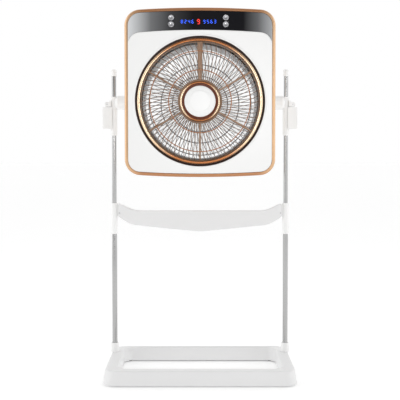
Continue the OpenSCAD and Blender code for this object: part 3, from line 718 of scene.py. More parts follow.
def black_rubber():
    return finish("black_rubber", (0.02, 0.02, 0.021), roughness=0.75, grain=1500.0,
                  variation=0.2, bump=0.4)


def ballast_black():
    return finish("ballast_black", (0.05, 0.052, 0.056), roughness=0.5, grain=500.0,
                  variation=0.2, bump=0.3, metallic=0.5)


def board_green():
    return finish("board_green", (0.012, 0.10, 0.04), roughness=0.35, grain=300.0,
                  variation=0.2, bump=0.2)


def friction_fibre():
    return finish("friction_fibre", (0.05, 0.045, 0.04), roughness=0.8, grain=1200.0,
                  variation=0.35, bump=0.5)


def strip_gloss():
    """Gloss black strip with a painted reflection: a silvery colour fades in towards its ends."""
    if "strip_gloss" in bpy.data.materials:
        return bpy.data.materials["strip_gloss"]
    material = finish("strip_gloss", colours().black, roughness=0.12, variation=0.02, bump=0.0,
                      specular_ior_level=0.1)
    tree = material.node_tree
    principled = tree.nodes["Principled BSDF"]
    across = node(tree, "ShaderNodeSeparateXYZ",
                  {0: node(tree, "ShaderNodeTexCoord").outputs["Object"]}).outputs["X"]
    half = width("control_lens") / 2
    along = node(tree, "ShaderNodeMapRange",
                 {"Value": across, "From Min": -half, "From Max": half}).outputs[0]
    painted_reflection = node(tree, "ShaderNodeValToRGB", {0: along})
    ramp = painted_reflection.color_ramp
    # Painted reflection: bright at the left end, dimmer at the right end, none in the middle
    stops = ((0.0, 1.25), (0.07, 0.85), (0.16, 0.30), (0.30, 0.07), (0.45, 0.0),
             (0.80, 0.0), (0.90, 0.22), (1.0, 0.75))
    while len(ramp.elements) < len(stops):
        ramp.elements.new(0.5)
    for element, (at, level) in zip(ramp.elements, stops):
        element.position = at
        element.color = (*(c * level for c in colours().painted_reflection_silver), 1)
    summed = node(tree, "ShaderNodeMix", {"Factor": 1.0}, data_type="RGBA", blend_type="ADD")
    group_colour = next(n for n in tree.nodes if n.type == "GROUP").outputs["Colour"]
    tree.links.new(group_colour, summed.inputs["A"])
    tree.links.new(painted_reflection.outputs[0], summed.inputs["B"])
    tree.links.new(summed.outputs["Result"], principled.inputs["Base Color"])
    return material


def lit(name, tint, strength):
    """The material of a glowing figure."""
    material = finish(name, tint, roughness=0.3, variation=0.05, bump=0.0)
    principled = material.node_tree.nodes["Principled BSDF"]
    principled.inputs["Emission Color"].default_value = (*tint, 1)
    principled.inputs["Emission Strength"].default_value = strength
    return material


# Finish of each material slot, for the CAD pieces that keep their own shape
SLOT_FINISH = {
    "white_plastic": satin_white,
    "trim_copper": copper_lacquer,
    "bezel_gold": polished_gold,
    "vane_bronze": bronze_lacquer,
    "black_gloss": strip_gloss,
    "dark_plastic": dark_matt,
    "guard_grey": guard_grey,
    "button_silver": satin_chrome,
    "tube_steel": brushed_steel,
    "fastener_steel": bright_steel,
    "motor_alloy": cast_alloy,
    "core_steel": core_steel,
    "winding_copper": copper_wire,
    "bush_bronze": sintered_bronze,
    "foot_rubber": black_rubber,
    "ballast_steel": ballast_black,
    "board_green": board_green,
    "washer_fibre": friction_fibre,
}


def done(piece, material, node_name, *more_nodes):
    """Gives a finished piece its material, and lets it stand for its CAD nodes."""
    piece.data.materials.clear()
    piece.data.materials.append(material)
    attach(piece, BODY_OF[node_name])
    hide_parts(node_name, *more_nodes)
    return piece


def added(piece, material, node_name):
    """A detail that goes with a CAD node but doesn't stand for it."""
    piece.data.materials.clear()
    piece.data.materials.append(material)
    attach(piece, BODY_OF[node_name])
    return piece


# ------------------------------------------------------------------ screws


def screw(name, head_r, head_h, shank_r, shank_len):
    """A pan-head screw with a cross recess, its head above the origin."""
    dome = eased([(head_r, 0), (head_r, head_h * 0.55), (head_r * 0.72, head_h), (0, head_h)],
                 head_r * 0.3, 3)
    piece = turned(name, dome, 24)
    arm = head_r * 0.62
    slit = head_r * 0.13
    for size in ((arm, slit), (slit, arm)):
        cut(piece, block("recess", (-size[0], -size[1], head_h * 0.45),
                         (size[0], size[1], head_h * 2)))
    shank = turned("shank", [(shank_r, head_h * 0.3), (shank_r, -shank_len * 0.9),
                             (shank_r * 0.4, -shank_len)], 16)
    return smooth(join([piece, shank], name))


# ------------------------------------------------------------------ stand


def base_ring():
    """Ring base: tapered outside, rounded on top, hollow underneath."""
    s = sizes()
    a, b = Vector(low("base_frame")), Vector(high("base_frame"))
    draft, wall, corner, opening_r = 6 * MM, 2.6 * MM, 34 * MM, 25 * MM
    wide, deep = b.x - a.x, b.y - a.y
    ring = block("base_ring", a, b, corner, 12)
    reopen(ring)
    pick("FACE", lambda at, way: way.z > 0.9)
    resize(1 - 2 * draft / wide, 1 - 2 * draft / deep, 1, (0, 0, b.z))
    close()
    inner = (Vector((a.x + s.side_leg, a.y + s.front_leg, a.z)),
             Vector((b.x - s.side_leg, b.y - s.rear_leg, b.z)))
    reach = Vector((0, 0, 20 * MM))
    cut(ring, block("opening", inner[0] - reach, inner[1] + reach, opening_r, 10))
    rounded(ring, 4.5 * MM, 5, lambda at, way: at.z > b.z - 0.01 * MM and abs(way.z) < 0.1)
    skin = Vector((wall + draft, wall + draft, 0))
    lift = Vector((0, 0, wall))
    cavity = block("cavity", a + skin - reach, b - skin - lift, corner - wall - draft, 10)
    grown = Vector((wall, wall, 0))
    cut(cavity, block("island", inner[0] - grown - reach * 2, inner[1] + grown + reach,
                      opening_r + wall, 10))
    cut(ring, cavity)
    done(smooth(ring, 28), satin_white(), "base_frame")


def rubber_feet():
    """Six pads under the ballast plate."""
    height = high("rubber_feet")[2]
    r = 8 * MM
    pad = turned("rubber_feet", eased([(r - 1 * MM, 0), (r, 1.2 * MM), (r, height)], MM, 3), 40)
    a, b = Vector(low("rubber_feet")), Vector(high("rubber_feet"))
    corner = b.x - 30 * MM
    places = [(side * (corner - r), y) for side in (-1, 1) for y in (a.y + r, b.y - r)]
    places += [(side * (b.x - r), -15 * MM) for side in (-1, 1)]
    at = [Matrix.Translation((x, y, 0)) for x, y in places]
    done(smooth(copies(pad, at)), black_rubber(), "rubber_feet")


def sockets():
    """Tapered sockets that take the tubes at the base."""
    for side, word in SIDES:
        name = f"post_socket_{word}"
        foot, top = low(name)[2], high(name)[2]
        r = width(name) / 2
        bore = width("lower_tube_right") / 2 + 0.05 * MM
        profile = eased([(r, foot), (r - 0.8 * MM, foot + 2 * MM), (r - 2.5 * MM, top),
                         (bore, top), (bore, foot)], 1.2 * MM, 4, loop=True)
        done(smooth(place(turned(name + "_piece", profile, 56, ring=True), post(side))),
             white_plastic(), name)


def tubes():
    """Lower and upper tubes, the upper ones running inside the lower ones."""
    for level, wall in (("lower", 0.9 * MM), ("upper", 1.0 * MM)):
        for side, word in SIDES:
            name = f"{level}_tube_{word}"
            r = width(name) / 2
            piece = hollow(name + "_piece", r, r - wall, low(name)[2], high(name)[2], 0.3 * MM, 48)
            done(place(piece, post(side)), brushed_steel(), name)


def tube_caps():
    """Domed end caps of the upper tubes."""
    for side, word in SIDES:
        name = f"tube_cap_{word}"
        foot, top, r = low(name)[2], high(name)[2], width(name) / 2
        bore = width("upper_tube_right") / 2 + 0.05 * MM
        seat = top - 6 * MM
        outside = [(bore, seat), (bore, foot), (r - 0.6 * MM, foot), (r, foot + 1.2 * MM),
                   (r, top - 3 * MM), (r - 3 * MM, top), (0.0, top)]
        piece = turned(name + "_piece", eased(outside, 2 * MM, 4), 48)
        done(smooth(place(piece, post(side))), white_plastic(), name)


def couplings():
    """Collars that join the tubes, each with a lug for the cross brace."""
    lug = Vector((20, 5, 0)) * MM
    for side, word in SIDES:
        name = f"coupling_{word}"
        foot, top = low(name)[2], high(name)[2]
        r = width(name, 1) / 2
        mid = (foot + top) / 2
        low_bore = width("lower_tube_right") / 2 + 0.05 * MM
        high_bore = width("upper_tube_right") / 2 + 0.05 * MM
        profile = [(r, foot), (r, top), (high_bore, top), (high_bore, mid), (low_bore, mid),
                   (low_bore, foot)]
        collar = turned(name + "_piece", eased(profile, 1.0 * MM, 4, loop=True), 56, ring=True)
        ear = block("lug", (-lug.x, -lug.y, foot + 48 * MM), (-7.2 * MM, 0, foot + 81 * MM))
        soften(ear, 0.8 * MM, 3)
        piece = join([smooth(collar), ear], name + "_piece")
        done(place(piece, post(side)), white_plastic(), name)


def cross_brace():
    """Deep bar that hangs between the couplings, open at the back."""
    a, b = Vector(low("cross_brace")), Vector(high("cross_brace"))
    half, knee = b.x, b.x - 40 * MM
    base, knee_low, end_low = a.z, a.z + 18 * MM, a.z + 40 * MM
    wall = 3 * MM

    def underside(x):
        x = abs(x)
        if x < knee:
            return base + (knee_low - base) * (x / knee) ** 1.1
        return knee_low + (end_low - knee_low) * ((x - knee) / (half - knee)) ** 1.3

    def outline(inset):
        under = [(half * (i / 20 - 1), underside(half * (i / 20 - 1)) + inset) for i in range(41)]
        crown = b.z - 21 * MM
        over = eased([(half, b.z - inset), (knee, crown - inset), (-knee, crown - inset),
                      (-half, b.z - inset)], 22 * MM, 8)
        return under + over

    upright = Matrix.Rotation(math.radians(90), 4, "X")
    bar = place(slab("cross_brace_piece", outline(0), -b.y, -a.y), upright)
    soften(bar, 1.6 * MM, 4, 50)
    pocket = place(slab("pocket", outline(wall), -b.y - 5 * MM, -a.y - wall), upright)
    cut(bar, pocket)
    for side, _ in SIDES:
        end = side * (half - 8.7 * MM)
        cut(bar, block("end_gap", (min(end, side * 0.3), TILT_AXIS.y - 5.1 * MM, a.z + 40 * MM),
                       (max(end, side * 0.3), b.y + 30 * MM, b.z + 30 * MM)))
    done(smooth(bar, 28), satin_white(), "cross_brace")


def stand_screws():
    """Screws of the ballast plate and of the cross brace."""
    a, b = Vector(low("base_frame")), Vector(high("base_frame"))
    plate = low("base_plate")[2]
    one = screw("stand_screws_piece", 3.5 * MM, 2.2 * MM, 1.6 * MM, 14 * MM)
    down = Matrix.Rotation(math.radians(180), 4, "X")
    back = Matrix.Rotation(math.radians(-90), 4, "X")
    front, rear = a.y + 17 * MM, b.y - 12.5 * MM
    places = [Matrix.Translation((side * x, y, plate)) @ down
              for side in (-1, 1) for x in (b.x - 30 * MM, 120 * MM) for y in (front, rear)]
    lug_z = low("coupling_right")[2] + 58 * MM
    brace = Matrix.Translation((-15 * MM, 0, lug_z)) @ back
    places += [post(side) @ brace for side, _ in SIDES]
    done(smooth(copies(one, places)), bright_steel(), "stand_screws")


class FAN_OT_base(bpy.types.Operator):
    """Ring base with its feet and sockets"""

    bl_idname = "fan.base"
    bl_label = "Base"

    def execute(self, context):
        base_ring()
        rubber_feet()
        sockets()
        return {"FINISHED"}


class FAN_OT_posts(bpy.types.Operator):
    """Tubes, couplings, end caps, cross brace and the stand's screws"""

    bl_idname = "fan.posts"
    bl_label = "Posts and brace"

    def execute(self, context):
        tubes()
        tube_caps()
        couplings()
        cross_brace()
        stand_screws()
        return {"FINISHED"}


# ------------------------------------------------------------------ carriage


def pin_place():
    """Where a lever's pin lies, in a post's own axes."""
    at = Vector(JOINTS["right_lever_swing"]["pos_m"])
    return at.x - middle("upper_tube_right").x, at.z


def slide_sleeves():
    """Sliding sleeves, each with a bridge and two ears for its lever."""
    pin_x, pin_z = pin_place()
    ear_r, ear_in, ear_out = 6.4 * MM, 7.6 * MM, 10.4 * MM
    ear_root, shoe_half, shoe_tall = 10 * MM, 3.7 * MM, 5.7 * MM
    for side, word in SIDES:
        name = f"slide_sleeve_{word}"
        foot, top = low(name)[2], high(name)[2]
        r = 8.8 * MM
        bore = width("upper_tube_right") / 2 + 0.08 * MM
        profile = [(r - 0.8 * MM, foot), (r, foot + 3 * MM), (r, top), (bore, top), (bore, foot)]
        sleeve = smooth(turned("sleeve", eased(profile, 1.2 * MM, 4, loop=True), 56, ring=True))
        parts = [sleeve]
        bridge = block("bridge", (7.2 * MM, -ear_out, pin_z - ear_r),
                       (11 * MM, ear_out, pin_z + 10.5 * MM))
        cut(bridge, block("window", (0, -shoe_half, pin_z - shoe_tall),
                          (20 * MM, shoe_half, pin_z + shoe_tall)))
        parts.append(soften(bridge, 0.7 * MM, 2))
        for way in (-1, 1):
            ear = slab("ear", [(ear_root - pin_x, ear_r), (ear_root - pin_x, -ear_r)]
                       + arc(0, 0, ear_r, -math.pi / 2, math.pi / 2, 16), 0, ear_out - ear_in)
            turn = Matrix.Rotation(math.radians(90), 4, "X")
            y = ear_out if way > 0 else -ear_in
            place(ear, Matrix.Translation((pin_x, y, pin_z)) @ turn)
            parts.append(soften(ear, 0.6 * MM, 2))
        done(place(join(parts, name + "_piece"), post(side)), white_plastic(), name)


def lever_pins():
    """Hinge pins of the levers, with small heads."""
    pin_x, pin_z = pin_place()
    half = width("lever_pins", 1) / 2
    one = turned("lever_pins_piece", eased([(1.6 * MM, -half), (2 * MM, 0.5 * MM - half),
                                            (2 * MM, half - 0.5 * MM), (1.6 * MM, half)],
                                           0.3 * MM, 2), 24)
    turn = Matrix.Translation((pin_x, 0, pin_z)) @ Matrix.Rotation(math.radians(90), 4, "X")
    pins = copies(one, [post(side) @ turn for side, _ in SIDES])
    done(smooth(pins), bright_steel(), "lever_pins")


def lock_levers():
    """Levers that clamp the sleeves: a shell grip under a round knuckle."""
    pin_x, pin_z = pin_place()
    inner, outer = 9.6 * MM, 31 * MM
    top, foot = pin_z - 7.5 * MM, pin_z - 66.5 * MM
    half, wall = 10 * MM, 2.2 * MM
    # The cheeks reach round the sleeve on both sides, clear of it
    cheek_in, cheek_gap, knuckle_half = 4 * MM, 9 * MM, 7.2 * MM
    for side, word in SIDES:
        name = f"lock_lever_{word}"
        grip = block("grip", (cheek_in, -half, foot), (outer, half, top))
        rounded(grip, 2.6 * MM, 5, lambda at, way: at.x > outer - 0.1 * MM)
        cut(grip, block("straddle", (0, -cheek_gap, foot - MM), (inner, cheek_gap, top + MM)))
        cut(grip, block("hollow", (inner - 5 * MM, -half + wall, foot + wall),
                        (outer - wall, half - wall, top - wall), 0))
        line_x = outer + 0.55 * MM
        for i in range(4):
            z = foot + (10 + 7 * i) * MM
            cut(grip, rod("finger_line", 1.1 * MM, (line_x, -half - MM, z),
                          (line_x, half + MM, z), 12))
        knuckle = rod("knuckle", 6.3 * MM, (pin_x, -knuckle_half, pin_z),
                      (pin_x, knuckle_half, pin_z), 40)
        neck = block("neck", (pin_x - 5 * MM, -knuckle_half, top - 2 * MM),
                     (pin_x + 5.5 * MM, knuckle_half, pin_z))
        fuse(knuckle, neck)
        cut(knuckle, rod("bore", 2.08 * MM, (pin_x, -20 * MM, pin_z), (pin_x, 20 * MM, pin_z), 24))
        soften(knuckle, 0.5 * MM, 2)
        piece = join([smooth(grip), knuckle], name + "_piece")
        done(place(piece, post(side)), white_plastic(), name)


def pivot_hubs():
    """Round hubs between the sleeves and the head, saddled on the sleeves."""
    half_head = width("rear_shell") / 2
    upright = Matrix.Rotation(math.radians(90), 4, "Y")
    for side, word in SIDES:
        name = f"pivot_hub_{word}"
        r = width(name, 2) / 2
        near, far = half_head + 1 * MM, high("pivot_hub_right")[0]
        bolt_r, nut_r, nut_floor = 4.05 * MM, 6.8 * MM, far - 14 * MM
        profile = [(bolt_r, near), (r - 1 * MM, near), (r, near + 1.6 * MM), (r, far - 7 * MM),
                   (r - 5 * MM, far), (nut_r, far), (nut_r, nut_floor), (bolt_r, nut_floor)]
        hub = turned(name + "_piece", eased(profile, 1.6 * MM, 4, loop=True), 72, ring=True)
        place(hub, Matrix.Translation((0, TILT_AXIS.y, TILT_AXIS.z)) @ upright)
        x = middle("upper_tube_right").x
        cut(hub, rod("saddle", 8.85 * MM, (x, TILT_AXIS.y, TILT_AXIS.z - 0.05),
                     (x, TILT_AXIS.y, TILT_AXIS.z + 0.05), 56))
        done(smooth(place(hub, Matrix.Scale(side, 4, (1, 0, 0)))), white_plastic(), name)


class FAN_OT_carriage(bpy.types.Operator):
    """Sliding sleeves with their levers, pins and pivot hubs"""

    bl_idname = "fan.carriage"
    bl_label = "Sleeves and levers"

    def execute(self, context):
        slide_sleeves()
        lever_pins()
        lock_levers()
        pivot_hubs()
        return {"FINISHED"}


# ------------------------------------------------------------------ housing


def edge_at(z):
    """A test for edges that lie flat at one depth."""
    return lambda at, way: abs(at.z - z) < 0.02 * MM and abs(way.z) < 0.1


def screw_wells():
    """Where the long screws stand in the rear shell, in the head's own axes."""
    half = width("rear_shell") / 2
    corner_x, side_x, side_y = half - 24 * MM, half - 16 * MM, 100 * MM
    right = ((corner_x, above("rear_shell") - 33 * MM), (corner_x, below("rear_shell") + 31 * MM),
             (side_x, side_y), (side_x, -side_y))
    return [(side * x, y) for x, y in right for side in (-1, 1)]


def rear_shell():
    """White shell with a round back edge, a guard opening and deep screw wells."""
    s = sizes()
    back, front = behind("rear_shell"), ahead("rear_shell")
    shell = slab("rear_shell_piece", head_outline(0), back, front)
    rounded(shell, 9 * MM, 7, edge_at(back))
    floor = 3 * MM
    inside = slab("inside", head_outline(s.wall), back + floor, front + 5 * MM)
    rounded(inside, 7 * MM, 5, edge_at(back + floor))
    cut(shell, inside)
    hole_r = width("rear_guard") / 2 + 0.5 * MM
    cut(shell, turned("guard_hole", [(hole_r, back - 5 * MM), (hole_r, back + 9 * MM)], 128))
    lip = turned("lip", eased([(hole_r, back), (hole_r + 7 * MM, back),
                               (hole_r + 5 * MM, back - 1.6 * MM), (hole_r, back - 1.6 * MM)],
                              0.8 * MM, 3, loop=True), 128, ring=True)
    place(lip, Matrix.Translation((0, 0, 0.4 * MM)))
    for x, y in screw_wells():
        well = turned("well", [(4.5 * MM, back - MM), (4.5 * MM, back + floor + MM)], 28)
        cut(shell, place(well, Matrix.Translation((x, y, 0))))
    inlet = in_head("cord_inlet")
    hole = turned("inlet_hole", [(8 * MM, back - MM), (8 * MM, back + floor + MM)], 32)
    cut(shell, place(hole, Matrix.Translation((inlet.x, inlet.y, 0))))
    shell = join([shell, lip], "rear_shell_piece")
    done(place(smooth(shell, 28), HEAD), white_plastic(), "rear_shell")


def trim_band():
    """Copper band: a rounded bead round the front edge."""
    s = sizes()
    back, front = behind("trim_band"), ahead("trim_band")
    band = slab("trim_band_piece", head_outline(0), back, front)
    rounded(band, 6 * MM, 8, edge_at(front))
    cut(band, slab("throat", head_outline(s.trim_w), back - MM, front + MM))
    cut(band, slab("socket", head_outline(s.wall), back - MM, front - 8 * MM))
    rounded(band, 1.6 * MM, 4, edge_at(front))
    done(place(smooth(band, 28), HEAD), copper_lacquer(), "trim_band")


def front_panel():
    """White face, raised below the control strip, with a rolled lip round the grille."""
    s = sizes()
    front = ahead("front_panel")
    back = front - 4 * MM
    inset = s.trim_w + 0.5 * MM
    plate = slab("front_panel_piece", head_outline(inset), back, front - 2.6 * MM)
    face = slab("face", arch() + head_halves(inset)[1], back + 0.5 * MM, front)
    rounded(face, 1.6 * MM, 5, edge_at(front))
    fuse(plate, face)
    hole_r = width("shadow_ring") / 2 + 0.2 * MM
    cut(plate, turned("grille_hole", [(hole_r, back - 5 * MM), (hole_r, front + 5 * MM)], 160))
    lip = [(hole_r, back), (hole_r, front + 0.2 * MM), (hole_r + 1.4 * MM, front + 1.2 * MM),
           (hole_r + 3.6 * MM, front + 0.9 * MM), (hole_r + 6.5 * MM, front - 0.3 * MM),
           (hole_r + 6.5 * MM, back + MM)]
    roll = smooth(turned("lip", eased(lip, 1.2 * MM, 4, loop=True), 160, ring=True))
    piece = join([smooth(plate, 28), roll], "front_panel_piece")
    done(place(piece, HEAD), white_plastic(), "front_panel")


def duct_ring():
    """Duct round the impeller, with its flange."""
    back, front = behind("duct_ring"), ahead("duct_ring")
    flange = width("duct_ring") / 2
    inner = width("impeller", 2) / 2 + 5 * MM
    profile = [(inner, front), (inner, back), (flange, back), (flange, back + 2.5 * MM),
               (inner + 2.5 * MM, back + 2.5 * MM), (inner + 2.5 * MM, front)]
    ring = turned("duct_ring_piece", eased(profile, 0.7 * MM, 2, loop=True), 128, ring=True)
    done(place(smooth(ring), HEAD), duct_white(), "duct_ring")


class FAN_OT_housing(bpy.types.Operator):
    """Rear shell, trim band, front panel and duct"""

    bl_idname = "fan.housing"
    bl_label = "Housing"

    def execute(self, context):
        rear_shell()
        trim_band()
        front_panel()
        duct_ring()
        return {"FINISHED"}


# ------------------------------------------------------------------ controls


def control_lens():
    """Gloss strip between the trim band and the arch of the white face."""
    s = sizes()
    back, front = behind("control_lens"), ahead("control_lens") - 0.4 * MM
    edge = head_halves(s.trim_w + 0.9 * MM)[0]
    under = arch(0.3 * MM)
    lowest = min(y for _, y in under) + 6 * MM
    strip = [p for p in edge if p[1] > lowest] + [p for p in reversed(under) if p[1] > lowest]
    lens = slab("control_lens_piece", strip, back, front)
    for name in BUTTONS:
        at = in_head(name)
        r = 8.05 * MM
        cut(lens, place(turned("hole", [(r, back - MM), (r, front + MM)], 48),
                        Matrix.Translation((at.x, at.y, 0))))
    soften(lens, 0.4 * MM, 2, 60)
    done(place(lens, HEAD), strip_gloss(), "control_lens")


BUTTONS = ("timer_button", "speed_button", "louvre_button", "power_button")


def buttons():
    """Four dished push buttons with a raised rim."""
    for name in BUTTONS:
        at = in_head(name)
        front, r = ahead(name), 7.75 * MM
        foot = behind(name)
        dish = [(3 * MM, foot), (3 * MM, front - 6 * MM), (r, front - 6 * MM), (r, front - 1.2 * MM),
                (r - 0.9 * MM, front), (r - 2 * MM, front), (r - 3.2 * MM, front - 0.9 * MM),
                (2.2 * MM, front - 1.3 * MM), (0.0, front - 1.35 * MM)]
        piece = smooth(turned(name + "_piece", eased(dish, 0.6 * MM, 3), 48), 40)
        place(piece, HEAD @ Matrix.Translation((at.x, at.y, 0)))
        done(piece, satin_chrome(), name)


# The bars of a seven-segment figure that each digit lights: top, upper right, lower right,
# bottom, lower left, upper left, middle
SEGMENTS = {
    "0": "abcdef", "1": "bc", "2": "abged", "3": "abgcd", "4": "fgbc", "5": "afgcd",
    "6": "afgcde", "7": "abc", "8": "abcdefg", "9": "abcdfg",
}


def figure(digit, tall, wide, bar, material_name):
    """One seven-segment digit, centred, in the head's own axes."""
    up, out = tall / 2, wide / 2
    bars = {
        "a": (0, up, True), "d": (0, -up, True), "g": (0, 0, True),
        "b": (out, up / 2, False), "c": (out, -up / 2, False),
        "f": (-out, up / 2, False), "e": (-out, -up / 2, False),
    }
    made = []
    for letter in SEGMENTS[digit]:
        x, y, flat = bars[letter]
        along = (wide if flat else up) / 2 - bar * 0.35
        tip = bar / 2
        shape = [(-along, 0), (tip - along, -tip), (along - tip, -tip), (along, 0),
                 (along - tip, tip), (tip - along, tip)]
        if not flat:
            shape = [(-b, a) for a, b in shape]
        part = slab("bar", shape, 0, 0.12 * MM)
        made.append(place(part, Matrix.Translation((x, y, 0))))
    return join(made, material_name)


def display_figures():
    """Lit figures in the strip: four blue, one red, four blue."""
    at = in_head("display_module")
    front = ahead("control_lens") - 0.4 * MM
    pitch, side_start = 9.4 * MM, 15.5 * MM
    lit_sets = (
        ("display_left", "8246", [-side_start - pitch * i for i in (3, 2, 1, 0)], 8.5 * MM, "blue"),
        ("display_right", "9563", [side_start + pitch * i for i in range(4)], 8.5 * MM, "blue"),
        ("display_middle", "9", [0.0], 11.5 * MM, "red"),
    )
    for name, digits, places, tall, glow in lit_sets:
        parts = []
        for digit, x in zip(digits, places):
            one = figure(digit, tall, tall * 0.52, 1.5 * MM, name)
            parts.append(place(one, HEAD @ Matrix.Translation((at.x + x, at.y, front - 0.02 * MM))))
        material = lit(glow + "_light", getattr(colours(), glow), 1.3)
        added(join(parts, name), material, "display_module")


class FAN_OT_controls(bpy.types.Operator):
    """Control strip with its buttons and lit figures"""

    bl_idname = "fan.controls"
    bl_label = "Controls"

    def execute(self, context):
        control_lens()
        buttons()
        display_figures()
        return {"FINISHED"}


# ------------------------------------------------------------------ grille


def grille_rings():
    """Polished ring round the wheel, and outside it a dark ring that paints the shadow in the groove round the
    polished ring.
    """
    outer = width("bezel_ring") / 2
    inner = outer - 7.6 * MM
    back, front = behind("bezel_ring"), ahead("bezel_ring")
    bead = [(inner, back), (inner, front - 1.5 * MM), (inner + 1.2 * MM, front - 0.2 * MM),
            (inner + 3.6 * MM, front), (outer - 1.2 * MM, front - 1.4 * MM),
            (outer, front - 3.2 * MM), (outer, back)]
    ring = turned("bezel_ring_piece", eased(bead, 1.6 * MM, 4, loop=True), 160, ring=True)
    done(place(smooth(ring, 40), HEAD), ring_gold("bezel_ring"), "bezel_ring")
    far = width("shadow_ring") / 2
    near = far - 5.4 * MM
    back, front = behind("shadow_ring"), ahead("shadow_ring")
    trough = [(near, back), (near, front - 1.3 * MM), (near + 1.2 * MM, front - 1.3 * MM),
              (far - 0.8 * MM, front), (far, front), (far, back)]
    ring = turned("shadow_ring_piece", eased(trough, 0.4 * MM, 2, loop=True), 160, ring=True)
    # The dark ring is painted shadow in the groove
    done(place(smooth(ring, 40), HEAD), dark_gloss(), "shadow_ring")


def vane(hub_r, rim_r, back, front):
    """One swept, leaning vane with an eased front edge."""
    s = sizes()
    half, deep = s.vane_t / 2, front - back
    spans = 6
    piece = block("vane", (hub_r, -half, back), (rim_r, half, front))
    reopen(piece)
    pick("EDGE", lambda at, way: abs(way.x) > 0.9)
    bpy.ops.mesh.subdivide(number_cuts=spans - 1)
    round_edges(s.vane_t * 0.35, 2, lambda at, way: at.z > front - 0.01 * MM and abs(way.x) > 0.9)
    for i in range(spans + 1):
        r = hub_r + (rim_r - hub_r) * i / spans
        pick("VERT", lambda at, way: abs(at.x - r) < 0.1 * MM)
        bpy.ops.transform.rotate(value=-s.vane_tilt, orient_axis="X",
                                 center_override=(r, 0, front - deep / 2))
    close()
    for vertex in piece.data.vertices:
        r = vertex.co.x
        turn = s.vane_sweep * (r - hub_r) / (rim_r - hub_r)
        x, y = r, vertex.co.y
        vertex.co.x = x * math.cos(turn) - y * math.sin(turn)
        vertex.co.y = x * math.sin(turn) + y * math.cos(turn)
    return smooth(piece, 50)


def louvre_wheel():
    """Turning wheel: swept vanes, spokes, two thin rings, a rim and a hub."""
    s = sizes()
    back, front = behind("louvre_wheel"), ahead("louvre_wheel")
    rim, hub = width("louvre_wheel", 2) / 2, 58.7 * MM
    vane_front, rim_back = front - 2 * MM, front - 10 * MM
    parts, hoops = [], []
    one = vane(hub - 1.2 * MM, rim - 1 * MM, rim_back, vane_front)
    parts.append(copies(one, around(s.vanes, 0.3 * FULL_TURN / s.vanes)))
    rim_band = [(rim - 2.6 * MM, rim_back), (rim - 2.6 * MM, front - 1.6 * MM),
                (rim - 1.3 * MM, front - MM), (rim, front - 1.6 * MM), (rim, rim_back)]
    parts.append(smooth(turned("rim", eased(rim_band, 0.5 * MM, 2, loop=True), 160, ring=True)))
    inner_hoop, outer_hoop = rim - 75.2 * MM, rim - 25.1 * MM
    for r in (inner_hoop, outer_hoop):
        hoop = arc(r, front - 2.2 * MM, 1.15 * MM, 0, FULL_TURN, 10)[:-1]
        hoops.append(smooth(turned("hoop", hoop, 144, ring=True), 60))
    for i in range(6):
        turn = math.radians(90 + 60 * i)
        near, far = (4.2 * MM, 7.6 * MM) if i == 0 else (2.0 * MM, 2.4 * MM)
        bar = slab("spoke", [(hub - MM, near), (hub - MM, -near), (rim - MM, -far),
                             (rim - MM, far)], front - 14 * MM, front - 1.4 * MM)
        if i == 0:
            groove = slab("groove", [(hub + 4 * MM, near * 0.45), (hub + 4 * MM, -near * 0.45),
                                     (rim - 5 * MM, -far * 0.6), (rim - 5 * MM, far * 0.6)],
                          front - 2.2 * MM, front)
            cut(bar, groove)
        parts.append(place(soften(bar, 0.6 * MM, 2), Matrix.Rotation(turn, 4, "Z")))
    collar = [(hub - 5.4 * MM, back), (hub - 5.4 * MM, front - 0.8 * MM), (hub - 1.5 * MM, front),
              (hub, front - 2 * MM), (hub, back)]
    parts.append(smooth(turned("collar", eased(collar, MM, 3, loop=True), 96, ring=True)))
    bore, boss_r, plate_back = 3.6 * MM, 8 * MM, front - 6 * MM
    plate = [(bore, rim_back), (boss_r, rim_back), (boss_r, plate_back),
             (hub - 5 * MM, plate_back), (hub - 5 * MM, vane_front), (39 * MM, vane_front),
             (bore, vane_front)]
    parts.append(smooth(turned("plate", plate, 96, ring=True)))
    wheel = join(parts, "louvre_wheel_piece")
    done(place(wheel, HEAD), bronze_lacquer(), "louvre_wheel")
    added(place(join(hoops, "wheel_hoops"), HEAD), hoop_copper(), "louvre_wheel")


def hub_trim():
    """Polished hub ring, the dark well inside it, and the white cap."""
    outer = width("louvre_hub_ring") / 2
    inner = outer - 5.1 * MM
    back, front = behind("louvre_hub_ring"), ahead("louvre_hub_ring")
    bead = [(inner, back), (inner, front - 1.6 * MM), (inner + 1.4 * MM, front),
            (outer - 1.4 * MM, front), (outer, front - 1.6 * MM), (outer, back)]
    ring = turned("hub_ring_piece", eased(bead, 1.3 * MM, 4, loop=True), 96, ring=True)
    done(place(smooth(ring, 40), HEAD), ring_gold("louvre_hub_ring"), "louvre_hub_ring")
    r = width("hub_cap") / 2
    base, top = behind("hub_cap"), ahead("hub_cap")
    well = [(r + 0.2 * MM, base), (r + 0.2 * MM, base + 0.8 * MM), (inner - 0.1 * MM, front - 3 * MM),
            (inner - 0.1 * MM, base)]
    dark = turned("hub_well", eased(well, 0.3 * MM, 2, loop=True), 96, ring=True)
    added(place(smooth(dark, 40), HEAD), well_brown(), "louvre_wheel")
    step = 28 * MM
    dome = [(r, base), (r, top - 4.6 * MM), (r - 2.2 * MM, top - 2.2 * MM),
            (step + 2.2 * MM, top - 1.3 * MM), (step + 1.2 * MM, top - 1.3 * MM),
            (step, top - 0.4 * MM), (step - 3 * MM, top - 0.2 * MM), (0.0, top)]
    cap = turned("hub_cap_piece", eased(dome, 1.2 * MM, 4), 96)
    done(place(smooth(cap, 40), HEAD), white_plastic(), "hub_cap")


